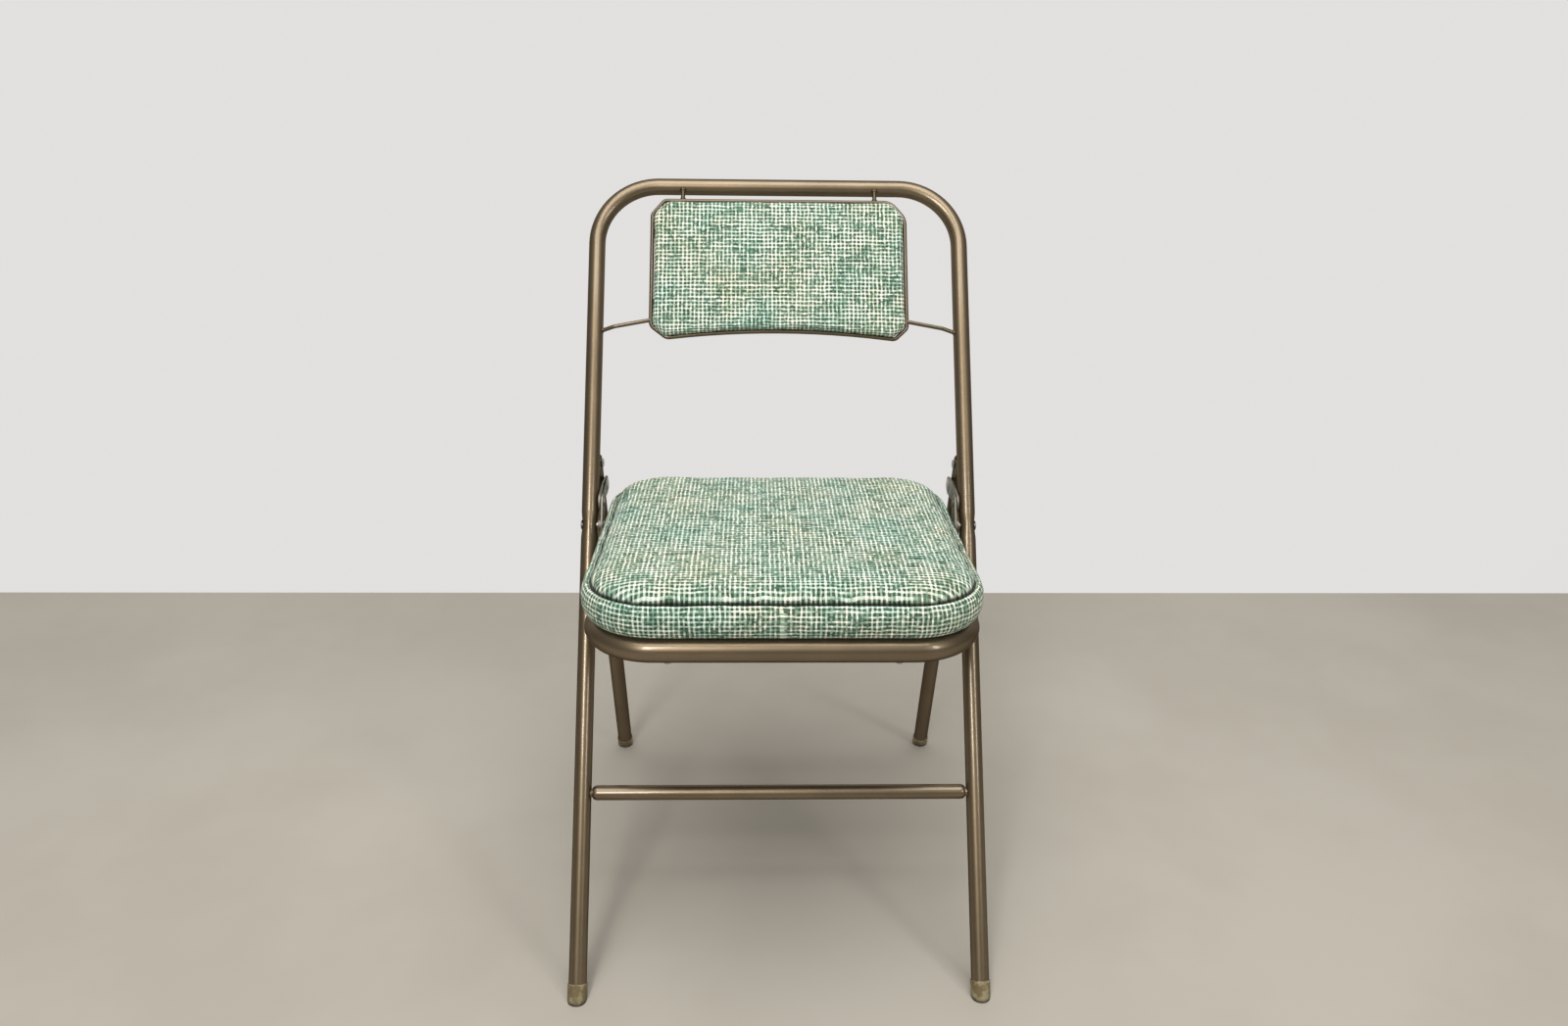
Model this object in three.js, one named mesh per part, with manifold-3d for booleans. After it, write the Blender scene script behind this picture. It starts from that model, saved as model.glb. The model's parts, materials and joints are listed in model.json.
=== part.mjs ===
// Steel-tube folding chair with an upholstered seat and back pad.
// Millimetres, +Z up. The chair faces -Y, +X is to the right seen from the front,
// and the floor is the plane z = 0.
import * as THREE from 'three';
import { mergeVertices } from 'three/addons/utils/BufferGeometryUtils.js';
import Module from 'manifold-3d';

const wasm = await Module();
wasm.setup();

// ---------------------------------------------------------------- dimensions
const GAP = 0.3;                     // between pieces that touch
const degrees = THREE.MathUtils.degToRad;

// where the front feet stand, so that the chair's box is centred on the origin
const FRONT_FOOT_Y = -241.7;

// front frame: one inverted U of tube, leaning back from the front feet
const LEAN = degrees(31.4);
const LEG_X = 214;                   // leg centre lines, left and right
const TUBE_R = 9.525;
const TUBE_WALL = 1.6;
const FRAME_LENGTH = 915.4;          // front foot to the top bar's centre line
const TOP_BEND_R = 72;
const TUBE_START = 8.5;              // the tube's end stands this far up in its foot

// stretchers between the legs
const FRONT_STRETCHER = { along: 212.7, radius: 7.95, nose: 4.6 };
const REAR_STRETCHER = { height: 178, radius: 6.35, nose: 4.2 };

// rear legs, hung behind the front frame on welded tabs
const LEG_HINGE = { along: 584, behind: 22 };
const REAR_FOOT_BACK = 483;          // rear foot behind the front foot, on the floor
const LEG_TOP = 7.4;                 // tube above the hinge
const TAB = { thick: 3, radius: 10, slotWidth: 3.6, slotDepth: 24 };

// feet: thin cups, cut flat where they stand
const FOOT_R = 10.5;
const FRONT_FOOT_TOP = 17;
const REAR_FOOT_TOP = 15;

// seat frame: a ring of larger tube that slopes down a little to the rear
const SEAT_SLOPE = degrees(2.3);
const RAIL_FRONT = { back: 22.7, up: 406.4 };   // front rail's centre line
const RAIL_R = 12.7;
const RAIL_WALL = 1.5;
const RAIL_HALF = 183.3;
const RAIL_DEPTH = 348.9;
const RAIL_CORNER = { front: 60, rear: 52 };

// seat cushion and its board
const CUSHION = { half: 196, front: -14.5, rear: 363, bottom: 13, seam: 55.5, crown: 67 };
const BOARD = { inset: 12, thick: 9, bottom: 13.2 };
const DUST_COVER = { thick: 1, inset: 50 };
const SCREW = { radius: 2, head: 4.5, headThick: 2, x: 110 };

// seat hinge on the front frame, brackets and links, from inside outwards
const SEAT_HINGE_ALONG = 507.7;
const LINK_ON_LEG = 32;              // below the leg's hinge
const LINK_ON_SEAT = { back: 276.293, up: 456.8 };
const BRACKET = { inner: 198.6, outer: 200.8 };
const LINK = { inner: 201.4, outer: 203.7, radius: 10.5 };
const RIVET_R = 3;
const WASHER_R = 6.5;

// back pad and the wires that hold it, in front of the frame's plane
const WIRE_R = 2.4;
const PAD_PLANE = -6;
const LOOP = { half: 149, top: 895, bottom: 726, arch: 8.7, chamfer: 15.5, bend: 7 };
const POST_X = 113.5;
const POST_TOP = 912;
const SIDE_WIRE = { inner: 747.5, bend: 739.5, bendX: 191, outer: 735.5 };
const PAD = { chamfer: 22, edge: -13, front: -21, back: -3.6, recessChamfer: 16 };
const BACK_BOARD = { inset: 9, front: -9, back: -3.7 };
const PAD_TAB = {
  outer: 150, width: 24, height: 12, thick: 1.5, screwIn: 19, heights: { lower: 768, upper: 856 },
};

// ---------------------------------------------------------------- finishes
const FINISHES = {
  bronze: { color: 0x806a4b, roughness: 0.38, metalness: 0.7 },
  zinc: { color: 0xb4b3ad, roughness: 0.42, metalness: 0.9 },
  footCap: { color: 0x8a7b45, roughness: 0.6, metalness: 0.0 },
  cloth: { color: 0x7fa58b, roughness: 0.95, metalness: 0.0 },
  wood: { color: 0xb99a6b, roughness: 0.75, metalness: 0.0 },
  dustCloth: { color: 0x1c1c1c, roughness: 0.95, metalness: 0.0 },
};

const chair = new THREE.Group();
chair.name = 'folding_chair';
chair.position.y = FRONT_FOOT_Y;

// groups that carry each piece's own frame
const frontFrame = new THREE.Group();      // +Z up the front legs, +Y behind them
frontFrame.rotation.x = -LEAN;
const seat = new THREE.Group();            // +Y to the rear, +Z through the cushion
seat.position.set(0, RAIL_FRONT.back, RAIL_FRONT.up);
seat.rotation.x = -SEAT_SLOPE;

// a point of the front frame's side view, as [back, up] from the front foot
function onFrame(along, behind = 0) {
  return [
    along * Math.sin(LEAN) + behind * Math.cos(LEAN),
    along * Math.cos(LEAN) - behind * Math.sin(LEAN),
  ];
}

const [hingeBack, hingeUp] = onFrame(LEG_HINGE.along, LEG_HINGE.behind);
const legLength = Math.hypot(REAR_FOOT_BACK - hingeBack, hingeUp);
const legTilt = Math.atan2(REAR_FOOT_BACK - hingeBack, hingeUp);
const rearLegs = new THREE.Group();        // +Z up the rear legs, from the hinge
rearLegs.position.set(0, hingeBack, hingeUp);
rearLegs.rotation.x = legTilt;

const linkLegBack = hingeBack + LINK_ON_LEG * Math.sin(legTilt);
const linkLegUp = hingeUp - LINK_ON_LEG * Math.cos(legTilt);
const linkLength = Math.hypot(linkLegBack - LINK_ON_SEAT.back, linkLegUp - LINK_ON_SEAT.up);
const links = new THREE.Group();           // +Y along the links, from the seat's end
links.position.set(0, LINK_ON_SEAT.back, LINK_ON_SEAT.up);
links.rotation.x = Math.atan2(linkLegUp - LINK_ON_SEAT.up, linkLegBack - LINK_ON_SEAT.back);

chair.add(frontFrame, seat, rearLegs, links);

// a side-view point [back, up] in the seat's own frame
function inSeat([back, up]) {
  const y = back - RAIL_FRONT.back;
  const z = up - RAIL_FRONT.up;
  return [
    y * Math.cos(SEAT_SLOPE) - z * Math.sin(SEAT_SLOPE),
    y * Math.sin(SEAT_SLOPE) + z * Math.cos(SEAT_SLOPE),
  ];
}
const seatHinge = inSeat(onFrame(SEAT_HINGE_ALONG));
const linkSeatEnd = inSeat([LINK_ON_SEAT.back, LINK_ON_SEAT.up]);

// ---------------------------------------------------------------- solids
function solid(geometry) {
  const bare = geometry.index ? geometry.toNonIndexed() : geometry.clone();
  bare.deleteAttribute('normal');
  bare.deleteAttribute('uv');
  const merged = mergeVertices(bare, 1e-4);
  return new wasm.Manifold(new wasm.Mesh({
    numProp: 3,
    vertProperties: new Float32Array(merged.attributes.position.array),
    triVerts: new Uint32Array(merged.index.array),
  }));
}

function geometryOf(body) {
  const mesh = body.getMesh();
  const geometry = new THREE.BufferGeometry();
  geometry.setAttribute('position', new THREE.BufferAttribute(mesh.vertProperties, 3));
  geometry.setIndex(new THREE.BufferAttribute(mesh.triVerts, 1));
  geometry.computeVertexNormals();
  return geometry;
}

function addPiece(group, name, shape, finish) {
  const geometry = shape.isBufferGeometry ? shape : geometryOf(shape);
  const mesh = new THREE.Mesh(geometry, new THREE.MeshStandardMaterial(FINISHES[finish]));
  mesh.name = name;
  group.add(mesh);
}

// a path of straight runs with round bends, sampled only where it turns
class BentPath extends THREE.Curve {
  constructor(corners, bendRadius, stepsPerBend = 8) {
    super();
    this.stations = [];
    corners.forEach((corner, i) => {
      if (i === 0 || i === corners.length - 1) {
        this.stations.push(corner.clone());
        return;
      }
      const into = corner.clone().sub(corners[i - 1]).normalize();
      const out = corners[i + 1].clone().sub(corner).normalize();
      const turn = into.angleTo(out);
      const radius = Array.isArray(bendRadius) ? bendRadius[i - 1] : bendRadius;
      if (radius === 0 || turn < 1e-6) {
        this.stations.push(corner.clone());
        return;
      }
      const trim = radius * Math.tan(turn / 2);
      const start = corner.clone().addScaledVector(into, -trim);
      const side = out.clone().addScaledVector(into, -into.dot(out)).normalize();
      for (let k = 0; k <= stepsPerBend; k += 1) {
        const angle = (turn * k) / stepsPerBend;
        this.stations.push(start.clone()
          .addScaledVector(into, radius * Math.sin(angle))
          .addScaledVector(side, radius * (1 - Math.cos(angle))));
      }
    });
  }

  get steps() {
    return this.stations.length - 1;
  }

  getPointAt(u, target = new THREE.Vector3()) {
    const place = Math.min(u * this.steps, this.steps - 1e-9);
    const i = Math.floor(place);
    return target.lerpVectors(this.stations[i], this.stations[i + 1], place - i);
  }

  getPoint(u, target) {
    return this.getPointAt(u, target);
  }

  getTangentAt(u, target = new THREE.Vector3()) {
    const i = Math.round(u * this.steps);
    const before = this.stations[Math.max(i - 1, 0)];
    const here = this.stations[i];
    const after = this.stations[Math.min(i + 1, this.steps)];
    const into = here.clone().sub(before).normalize();
    const out = after.clone().sub(here).normalize();
    return target.copy(into).add(out).normalize();
  }
}

function ringShape(radius, wall, sides) {
  const points = (r) => Array.from({ length: sides }, (_, k) => {
    const angle = (2 * Math.PI * (k + 0.5)) / sides;
    return new THREE.Vector2(r * Math.cos(angle), r * Math.sin(angle));
  });
  const shape = new THREE.Shape(points(radius));
  if (wall) shape.holes.push(new THREE.Path(points(radius - wall)));
  return shape;
}

function tube(path, radius, wall = 0, sides = 16) {
  return new THREE.ExtrudeGeometry(ringShape(radius, wall, sides), {
    steps: path.steps, bevelEnabled: false, extrudePath: path,
  });
}

const point = (x, y, z) => new THREE.Vector3(x, y, z);

// a round bar along X, from x0 to x1, at [y, z]
function crossBar(x0, x1, [y, z], radius, sides = 16) {
  const geometry = new THREE.CylinderGeometry(radius, radius, Math.abs(x1 - x0), sides);
  geometry.rotateZ(Math.PI / 2);
  geometry.translate((x0 + x1) / 2, y, z);
  return geometry;
}

function block(x0, x1, y0, y1, z0, z1) {
  const geometry = new THREE.BoxGeometry(x1 - x0, y1 - y0, z1 - z0);
  geometry.translate((x0 + x1) / 2, (y0 + y1) / 2, (z0 + z1) / 2);
  return geometry;
}

// the outline around a few circles [y, z, radius], as a plate from x0 to x1
function plate(circles, x0, x1) {
  const around = 20;
  const points = circles.flatMap(([y, z, radius]) => Array.from({ length: around }, (_, k) => {
    const angle = (2 * Math.PI * k) / around;
    return new THREE.Vector2(y + radius * Math.cos(angle), z + radius * Math.sin(angle));
  }));
  points.sort((a, b) => a.x - b.x || a.y - b.y);
  const half = (list) => list.reduce((hull, p) => {
    while (hull.length > 1) {
      const a = hull[hull.length - 2];
      const b = hull[hull.length - 1];
      if ((b.x - a.x) * (p.y - a.y) - (b.y - a.y) * (p.x - a.x) > 1e-9) break;
      hull.pop();
    }
    hull.push(p);
    return hull;
  }, []);
  const lower = half(points);
  const upper = half([...points].reverse());
  const outline = new THREE.Shape([...lower.slice(0, -1), ...upper.slice(0, -1)]);
  const geometry = new THREE.ExtrudeGeometry(outline, { depth: x1 - x0, bevelEnabled: false });
  geometry.rotateZ(Math.PI / 2);        // the outline's x becomes Y
  geometry.rotateY(Math.PI / 2);        // and its depth runs along X
  geometry.translate(x0, 0, 0);
  return geometry;
}

// left and right: the shapes are drawn on the right and mirrored
const SIDES = { left: -1, right: 1 };
function sided(geometry, side) {
  if (side > 0) return solid(geometry);
  return solid(geometry).mirror([1, 0, 0]);
}

// a rivet or pin along X, made of steps [x0, x1, radius]
function steppedPin(steps, place, side) {
  return steps
    .map(([x0, x1, radius]) => sided(crossBar(x0, x1, place, radius), side))
    .reduce((a, b) => a.add(b));
}

// ---------------------------------------------------------------- front frame
function frontFrameTube() {
  const path = new BentPath([
    point(-LEG_X, 0, TUBE_START), point(-LEG_X, 0, FRAME_LENGTH),
    point(LEG_X, 0, FRAME_LENGTH), point(LEG_X, 0, TUBE_START),
  ], TOP_BEND_R, 10);
  let body = solid(tube(path, TUBE_R, TUBE_WALL));
  const hole = RIVET_R + GAP;
  for (const side of Object.values(SIDES)) {
    const reach = LEG_X + 2 * TUBE_R;
    body = body.subtract(
      sided(crossBar(LEG_X - 2 * TUBE_R, reach, [0, SEAT_HINGE_ALONG], hole), side));
  }
  return body;
}

// a stretcher with domed ends and a small nose that meets the legs' inner sides
function stretcher({ radius, nose }, legRadius) {
  const reach = LEG_X - legRadius;
  const shoulder = reach - 7;
  const profile = [[0, 0], [radius, 0]];
  const dome = 6;
  for (let k = 0; k <= dome; k += 1) {
    const angle = (Math.PI / 2) * (k / dome);
    profile.push([
      nose + (radius - nose) * Math.cos(angle),
      shoulder - 5 + 5 * Math.sin(angle),
    ]);
  }
  profile.push([nose, reach + 2], [0, reach + 2]);
  const half = new THREE.LatheGeometry(profile.map(([r, y]) => new THREE.Vector2(r, y)), 16);
  half.rotateZ(-Math.PI / 2);
  const right = solid(half);
  const whole = right.add(right.mirror([1, 0, 0]));
  const saddle = new THREE.CylinderGeometry(legRadius + GAP, legRadius + GAP, 60, 24);
  saddle.rotateX(Math.PI / 2);
  saddle.translate(LEG_X, 0, 0);
  const cut = solid(saddle);
  return whole.subtract(cut).subtract(cut.mirror([1, 0, 0]));
}

// a thin cup over a leg's end, cut flat by the floor
function footCup(tilt, top) {
  const inside = TUBE_R + GAP;
  const profile = [
    [0, -6.2], [6.4, -6.2], [8.6, -4.8], [10, -2.2], [FOOT_R, 1],
    [FOOT_R - 0.1, top - 1], [FOOT_R - 0.4, top], [inside, top],
    [inside, TUBE_START - GAP], [0, TUBE_START - GAP],
  ].map(([r, y]) => new THREE.Vector2(r, y));
  const cup = new THREE.LatheGeometry(profile, 24);
  cup.rotateX(Math.PI / 2 + tilt);
  return solid(cup).subtract(solid(block(-40, 40, -40, 40, -40, 0)));
}

function closedLoop(upper, lower, bends, radius) {
  const halves = [upper, lower].map((corners, i) => (
    solid(tube(new BentPath(corners, bends[i], 3), radius, 0, 8))));
  return halves[0].add(halves[1]);
}

// how high the loop's lower edge arches at a distance from the middle
function archAt(x) {
  const t = x / (LOOP.half - LOOP.chamfer);
  return LOOP.bottom + LOOP.arch * (1 - t * t);
}

const ARCH_SPANS = 8;

// the lower edge as [x, height] points, from the left cut corner to the right one
function archPoints(reach, lift) {
  return Array.from({ length: ARCH_SPANS + 1 }, (_, k) => {
    const x = reach * ((2 * k) / ARCH_SPANS - 1);
    return [x, archAt(x) + lift];
  });
}

function backWireLoop() {
  const { half, chamfer, top, bottom, bend } = LOOP;
  const middle = (top + bottom) / 2;
  const at = (x, z) => point(x, PAD_PLANE, z);
  const upper = [
    at(-half, middle), at(-half, top - chamfer), at(-half + chamfer, top),
    at(half - chamfer, top), at(half, top - chamfer), at(half, middle),
  ];
  const lower = [
    at(-half, middle), at(-half, bottom + chamfer),
    ...archPoints(half - chamfer, 0).map(([x, z]) => at(x, z)),
    at(half, bottom + chamfer), at(half, middle),
  ];
  const lowerBends = lower.slice(1, -1).map((_, i, all) => (
    i < 2 || i > all.length - 3 ? bend : 0));
  return closedLoop(upper, lower, [bend, lowerBends], WIRE_R);
}

// the pad's outline in the loop: [x, height] points with cut corners and an arched foot
function padOutline(inset, chamfer) {
  const side = LOOP.half - WIRE_R - inset;
  const top = LOOP.top - WIRE_R - inset;
  const foot = archPoints(side - chamfer, WIRE_R + inset);
  const shape = new THREE.Shape();
  shape.moveTo(-side, foot[0][1] + chamfer);
  foot.forEach(([x, z]) => shape.lineTo(x, z));
  shape.lineTo(side, foot[0][1] + chamfer);
  shape.lineTo(side, top - chamfer);
  shape.lineTo(side - chamfer, top);
  shape.lineTo(-side + chamfer, top);
  shape.lineTo(-side, top - chamfer);
  shape.closePath();
  return shape;
}

// extrude an outline drawn in x and height, from one depth behind the frame to another
function slab(shape, from, to, bevel = 0, bevelSize = bevel) {
  const geometry = new THREE.ExtrudeGeometry(shape, {
    depth: to - from - 2 * bevel, curveSegments: 8, bevelEnabled: bevel > 0,
    bevelThickness: bevel, bevelSize, bevelOffset: -bevelSize, bevelSegments: 2,
  });
  geometry.translate(0, 0, bevel);
  geometry.rotateX(Math.PI / 2);
  geometry.translate(0, to, 0);
  return geometry;
}

function backPad() {
  const outline = padOutline(GAP, PAD.chamfer);
  const core = solid(slab(outline, PAD.edge, PAD.back));
  const crown = solid(slab(outline, PAD.front, PAD.edge + 8, 7.9, 14));
  const recess = slab(padOutline(BACK_BOARD.inset - GAP, PAD.recessChamfer),
    BACK_BOARD.front - GAP, 4);
  return core.add(crown).subtract(solid(recess));
}

function buildFrontFrame() {
  addPiece(frontFrame, 'front_frame_tube', frontFrameTube(), 'bronze');
  const bar = geometryOf(stretcher(FRONT_STRETCHER, TUBE_R));
  bar.translate(0, 0, FRONT_STRETCHER.along);
  addPiece(frontFrame, 'front_stretcher', bar, 'bronze');
  addPiece(frontFrame, 'back_wire_loop', backWireLoop(), 'bronze');
  addPiece(frontFrame, 'back_pad', backPad(), 'cloth');
  const board = solid(slab(padOutline(BACK_BOARD.inset, PAD.recessChamfer),
    BACK_BOARD.front, BACK_BOARD.back));
  let drilled = board;
  for (const [name, side] of Object.entries(SIDES)) {
    const post = solid(tube(new BentPath([
      point(side * POST_X, PAD_PLANE, LOOP.top + WIRE_R + GAP),
      point(side * POST_X, PAD_PLANE, POST_TOP),
    ], 0), WIRE_R, 0, 12));
    const topBar = crossBar(-LEG_X, LEG_X, [0, FRAME_LENGTH], TUBE_R + GAP, 36);
    addPiece(frontFrame, `back_post_${name}`, post.subtract(solid(topBar)), 'bronze');
    const wire = solid(tube(new BentPath([
      point(side * (LOOP.half + WIRE_R + 2 * GAP), PAD_PLANE, SIDE_WIRE.inner),
      point(side * SIDE_WIRE.bendX, PAD_PLANE, SIDE_WIRE.bend),
      point(side * (LEG_X - 4), 0, SIDE_WIRE.outer),
    ], 6, 4), WIRE_R, 0, 12));
    const leg = new THREE.CylinderGeometry(TUBE_R + GAP, TUBE_R + GAP, 80, 36);
    leg.rotateX(Math.PI / 2);
    leg.translate(side * LEG_X, 0, SIDE_WIRE.outer);
    addPiece(frontFrame, `back_side_wire_${name}`, wire.subtract(solid(leg)), 'bronze');
    for (const [level, height] of Object.entries(PAD_TAB.heights)) {
      const near = PAD_PLANE + WIRE_R + GAP;
      const screwX = PAD_TAB.outer - PAD_TAB.screwIn;
      const tab = sided(block(PAD_TAB.outer - PAD_TAB.width, PAD_TAB.outer,
        near, near + PAD_TAB.thick,
        height - PAD_TAB.height / 2, height + PAD_TAB.height / 2), side);
      const alongY = (y0, y1, radius) => {
        const geometry = new THREE.CylinderGeometry(radius, radius, y1 - y0, 12);
        geometry.translate(screwX, (y0 + y1) / 2, height);
        return sided(geometry, side);
      };
      const outside = near + PAD_TAB.thick;
      const screw = alongY(BACK_BOARD.front + 1, outside + 1, SCREW.radius)
        .add(alongY(outside + GAP, outside + GAP + SCREW.headThick, SCREW.head));
      const hole = alongY(BACK_BOARD.front + 0.5, outside + 5, SCREW.radius + GAP);
      drilled = drilled.subtract(hole);
      addPiece(frontFrame, `pad_tab_${level}_${name}`, tab.subtract(hole), 'bronze');
      addPiece(frontFrame, `pad_screw_${level}_${name}`, screw, 'zinc');
    }
    const foot = geometryOf(footCup(-LEAN, FRONT_FOOT_TOP));
    foot.translate(side * LEG_X, 0, 0);
    addPiece(chair, `front_foot_${name}`, foot, 'footCap');
  }
  addPiece(frontFrame, 'back_board', drilled, 'wood');
}

// ---------------------------------------------------------------- hinges on the frame
function buildHinges() {
  const { along, behind } = LEG_HINGE;
  const hole = RIVET_R + GAP;
  const outerSide = LEG_X + TUBE_R + GAP;
  for (const [name, side] of Object.entries(SIDES)) {
    const half = TAB.thick / 2;
    const weld = TUBE_R + GAP + 2;
    const lobe = sided(plate([
      [behind, along, TAB.radius], [weld, along - 16, 2], [weld, along + 16, 2],
    ], LEG_X - half, LEG_X + half), side);
    const bore = sided(crossBar(LEG_X - 20, LEG_X + 20, [behind, along], hole), side);
    addPiece(frontFrame, `leg_hinge_tab_${name}`, lobe.subtract(bore), 'bronze');
    const legRivet = steppedPin([
      [LEG_X - TUBE_R - GAP - 1.4, LEG_X - TUBE_R - GAP, 5.5],
      [LEG_X - TUBE_R - GAP - 1, outerSide + 1, RIVET_R],
      [outerSide, outerSide + 1.6, 5.5],
    ], [behind, along], side);
    addPiece(frontFrame, `leg_rivet_${name}`, legRivet, 'zinc');
    const seatRivet = steppedPin([
      [BRACKET.inner - GAP - 1.2, BRACKET.inner - GAP, 5.5],
      [BRACKET.inner - GAP - 1, outerSide + 1, RIVET_R],
      [outerSide, outerSide + 1.6, 5.5],
    ], [0, SEAT_HINGE_ALONG], side);
    addPiece(frontFrame, `seat_rivet_${name}`, seatRivet, 'zinc');
    const place = [0, SEAT_HINGE_ALONG];
    const washer = sided(crossBar(BRACKET.outer + GAP, LEG_X - TUBE_R - GAP, place, WASHER_R),
      side).subtract(sided(crossBar(BRACKET.outer, LEG_X, place, hole), side));
    addPiece(frontFrame, `seat_washer_${name}`, washer, 'zinc');
  }
}

// ---------------------------------------------------------------- rear legs
function rearLeg(side) {
  const path = new BentPath([point(LEG_X, 0, LEG_TOP), point(LEG_X, 0, TUBE_START - legLength)], 0);
  const slot = block(LEG_X - TAB.slotWidth / 2, LEG_X + TAB.slotWidth / 2,
    -20, 20, -TAB.slotDepth, LEG_TOP + 10);
  const bore = crossBar(LEG_X - 20, LEG_X + 20, [0, 0], RIVET_R + GAP);
  return sided(tube(path, TUBE_R, TUBE_WALL, 20), side)
    .subtract(sided(slot, side))
    .subtract(sided(bore, side));
}

function buildRearLegs() {
  for (const [name, side] of Object.entries(SIDES)) {
    addPiece(rearLegs, `rear_leg_${name}`, rearLeg(side), 'bronze');
    const foot = geometryOf(footCup(legTilt, REAR_FOOT_TOP));
    foot.translate(side * LEG_X, REAR_FOOT_BACK, 0);
    addPiece(chair, `rear_foot_${name}`, foot, 'footCap');
  }
  const bar = geometryOf(stretcher(REAR_STRETCHER, TUBE_R));
  bar.translate(0, 0, REAR_STRETCHER.height / Math.cos(legTilt) - legLength);
  addPiece(rearLegs, 'rear_stretcher', bar, 'bronze');
}

// ---------------------------------------------------------------- seat
function seatRail() {
  const middle = RAIL_DEPTH / 2;
  const bent = (end, corner) => tube(new BentPath([
    point(-RAIL_HALF, middle, 0), point(-RAIL_HALF, end, 0),
    point(RAIL_HALF, end, 0), point(RAIL_HALF, middle, 0),
  ], corner, 6), RAIL_R, RAIL_WALL, 16);
  let ring = solid(bent(0, RAIL_CORNER.front)).add(solid(bent(RAIL_DEPTH, RAIL_CORNER.rear)));
  for (const [x, y] of screwPlaces()) {
    ring = ring.subtract(upright(x, y, -20, 20, SCREW.radius + GAP));
  }
  return ring;
}

function screwPlaces() {
  return [-1, 1].flatMap((side) => [[side * SCREW.x, 0], [side * SCREW.x, RAIL_DEPTH]]);
}

function upright(x, y, z0, z1, radius) {
  const geometry = new THREE.CylinderGeometry(radius, radius, z1 - z0, 12);
  geometry.rotateX(Math.PI / 2);
  geometry.translate(x, y, (z0 + z1) / 2);
  return solid(geometry);
}

// the seat's plan outline, drawn in by an inset
function seatOutline(inset) {
  const half = CUSHION.half - inset;
  const front = CUSHION.front + inset;
  const rear = CUSHION.rear - inset;
  const frontR = Math.max(RAIL_CORNER.front + RAIL_R - inset, 8);
  const rearR = Math.max(RAIL_CORNER.rear + RAIL_R - inset, 8);
  const shape = new THREE.Shape();
  shape.moveTo(-half + frontR, front);
  shape.absarc(half - frontR, front + frontR, frontR, -Math.PI / 2, 0);
  shape.absarc(half - rearR, rear - rearR, rearR, 0, Math.PI / 2);
  shape.absarc(-half + rearR, rear - rearR, rearR, Math.PI / 2, Math.PI);
  shape.absarc(-half + frontR, front + frontR, frontR, Math.PI, 1.5 * Math.PI);
  return shape;
}

function layer(inset, from, to, bevel = 0, bevelSize = bevel) {
  const geometry = new THREE.ExtrudeGeometry(seatOutline(inset), {
    depth: to - from - 2 * bevel, curveSegments: 5, bevelEnabled: bevel > 0,
    bevelThickness: bevel, bevelSize, bevelOffset: -bevelSize, bevelSegments: 2,
  });
  geometry.translate(0, 0, from + bevel);
  return solid(geometry);
}

function seatCushion() {
  const { bottom, seam, crown } = CUSHION;
  const body = layer(0, bottom, seam, 7, 7);
  const top = layer(6, seam - 14, crown, 12.9, 50);
  const recess = layer(BOARD.inset - GAP, bottom - 2, BOARD.bottom + BOARD.thick + GAP);
  return body.add(top).subtract(recess);
}

function seatBoard() {
  let board = layer(BOARD.inset, BOARD.bottom, BOARD.bottom + BOARD.thick);
  for (const [x, y] of screwPlaces()) {
    board = board.subtract(upright(x, y, 0, BOARD.bottom + 7, SCREW.radius + GAP));
  }
  return board;
}

// the dust cover lies under the board, inside the ring of the rail
function dustCover() {
  const top = BOARD.bottom - GAP;
  return layer(DUST_COVER.inset, top - DUST_COVER.thick, top);
}

function seatBracket(side) {
  const [y, z] = seatHinge;
  const hole = RIVET_R + GAP;
  const { inner, outer } = BRACKET;
  const parts = [
    plate([[y, z, 11], [linkSeatEnd[0], linkSeatEnd[1], 9], [y + 4, z - 6, 11]], inner, outer),
    plate([[y - 16, -1, 7], [y + 20, -1, 7], [y + 2, z, 12]], inner, outer),
  ].map((geometry) => sided(geometry, side));
  return parts[0].add(parts[1])
    .subtract(sided(crossBar(inner - 5, outer + 5, seatHinge, hole), side))
    .subtract(sided(crossBar(inner - 5, outer + 5, linkSeatEnd, hole), side));
}

// a welded pad between the rail's round side and the flat bracket
function bracketPad(side) {
  const y = seatHinge[0];
  const pad = sided(block(RAIL_HALF, BRACKET.inner - GAP, y - 18, y + 22, -6, 6), side);
  const rail = new THREE.CylinderGeometry(RAIL_R + GAP, RAIL_R + GAP, 200, 36);
  rail.translate(RAIL_HALF, y, 0);
  return pad.subtract(sided(rail, side));
}

function buildSeat() {
  addPiece(seat, 'seat_rail', seatRail(), 'bronze');
  addPiece(seat, 'seat_cushion', seatCushion(), 'cloth');
  addPiece(seat, 'seat_board', seatBoard(), 'wood');
  addPiece(seat, 'seat_dust_cover', dustCover(), 'dustCloth');
  screwPlaces().forEach(([x, y], i) => {
    const under = -RAIL_R - GAP;
    const screw = upright(x, y, under - 1, BOARD.bottom + 6, SCREW.radius)
      .add(upright(x, y, under - SCREW.headThick, under, SCREW.head));
    addPiece(seat, `board_screw_${i + 1}`, screw, 'zinc');
  });
  for (const [name, side] of Object.entries(SIDES)) {
    addPiece(seat, `seat_bracket_${name}`, seatBracket(side), 'zinc');
    addPiece(seat, `bracket_pad_${name}`, bracketPad(side), 'bronze');
    const pin = steppedPin([
      [BRACKET.inner - GAP - 1.2, BRACKET.inner - GAP, 5],
      [BRACKET.inner - GAP - 1, LINK.outer + 0.2, RIVET_R],
    ], linkSeatEnd, side);
    addPiece(seat, `link_pin_${name}`, pin, 'zinc');
  }
}

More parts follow.
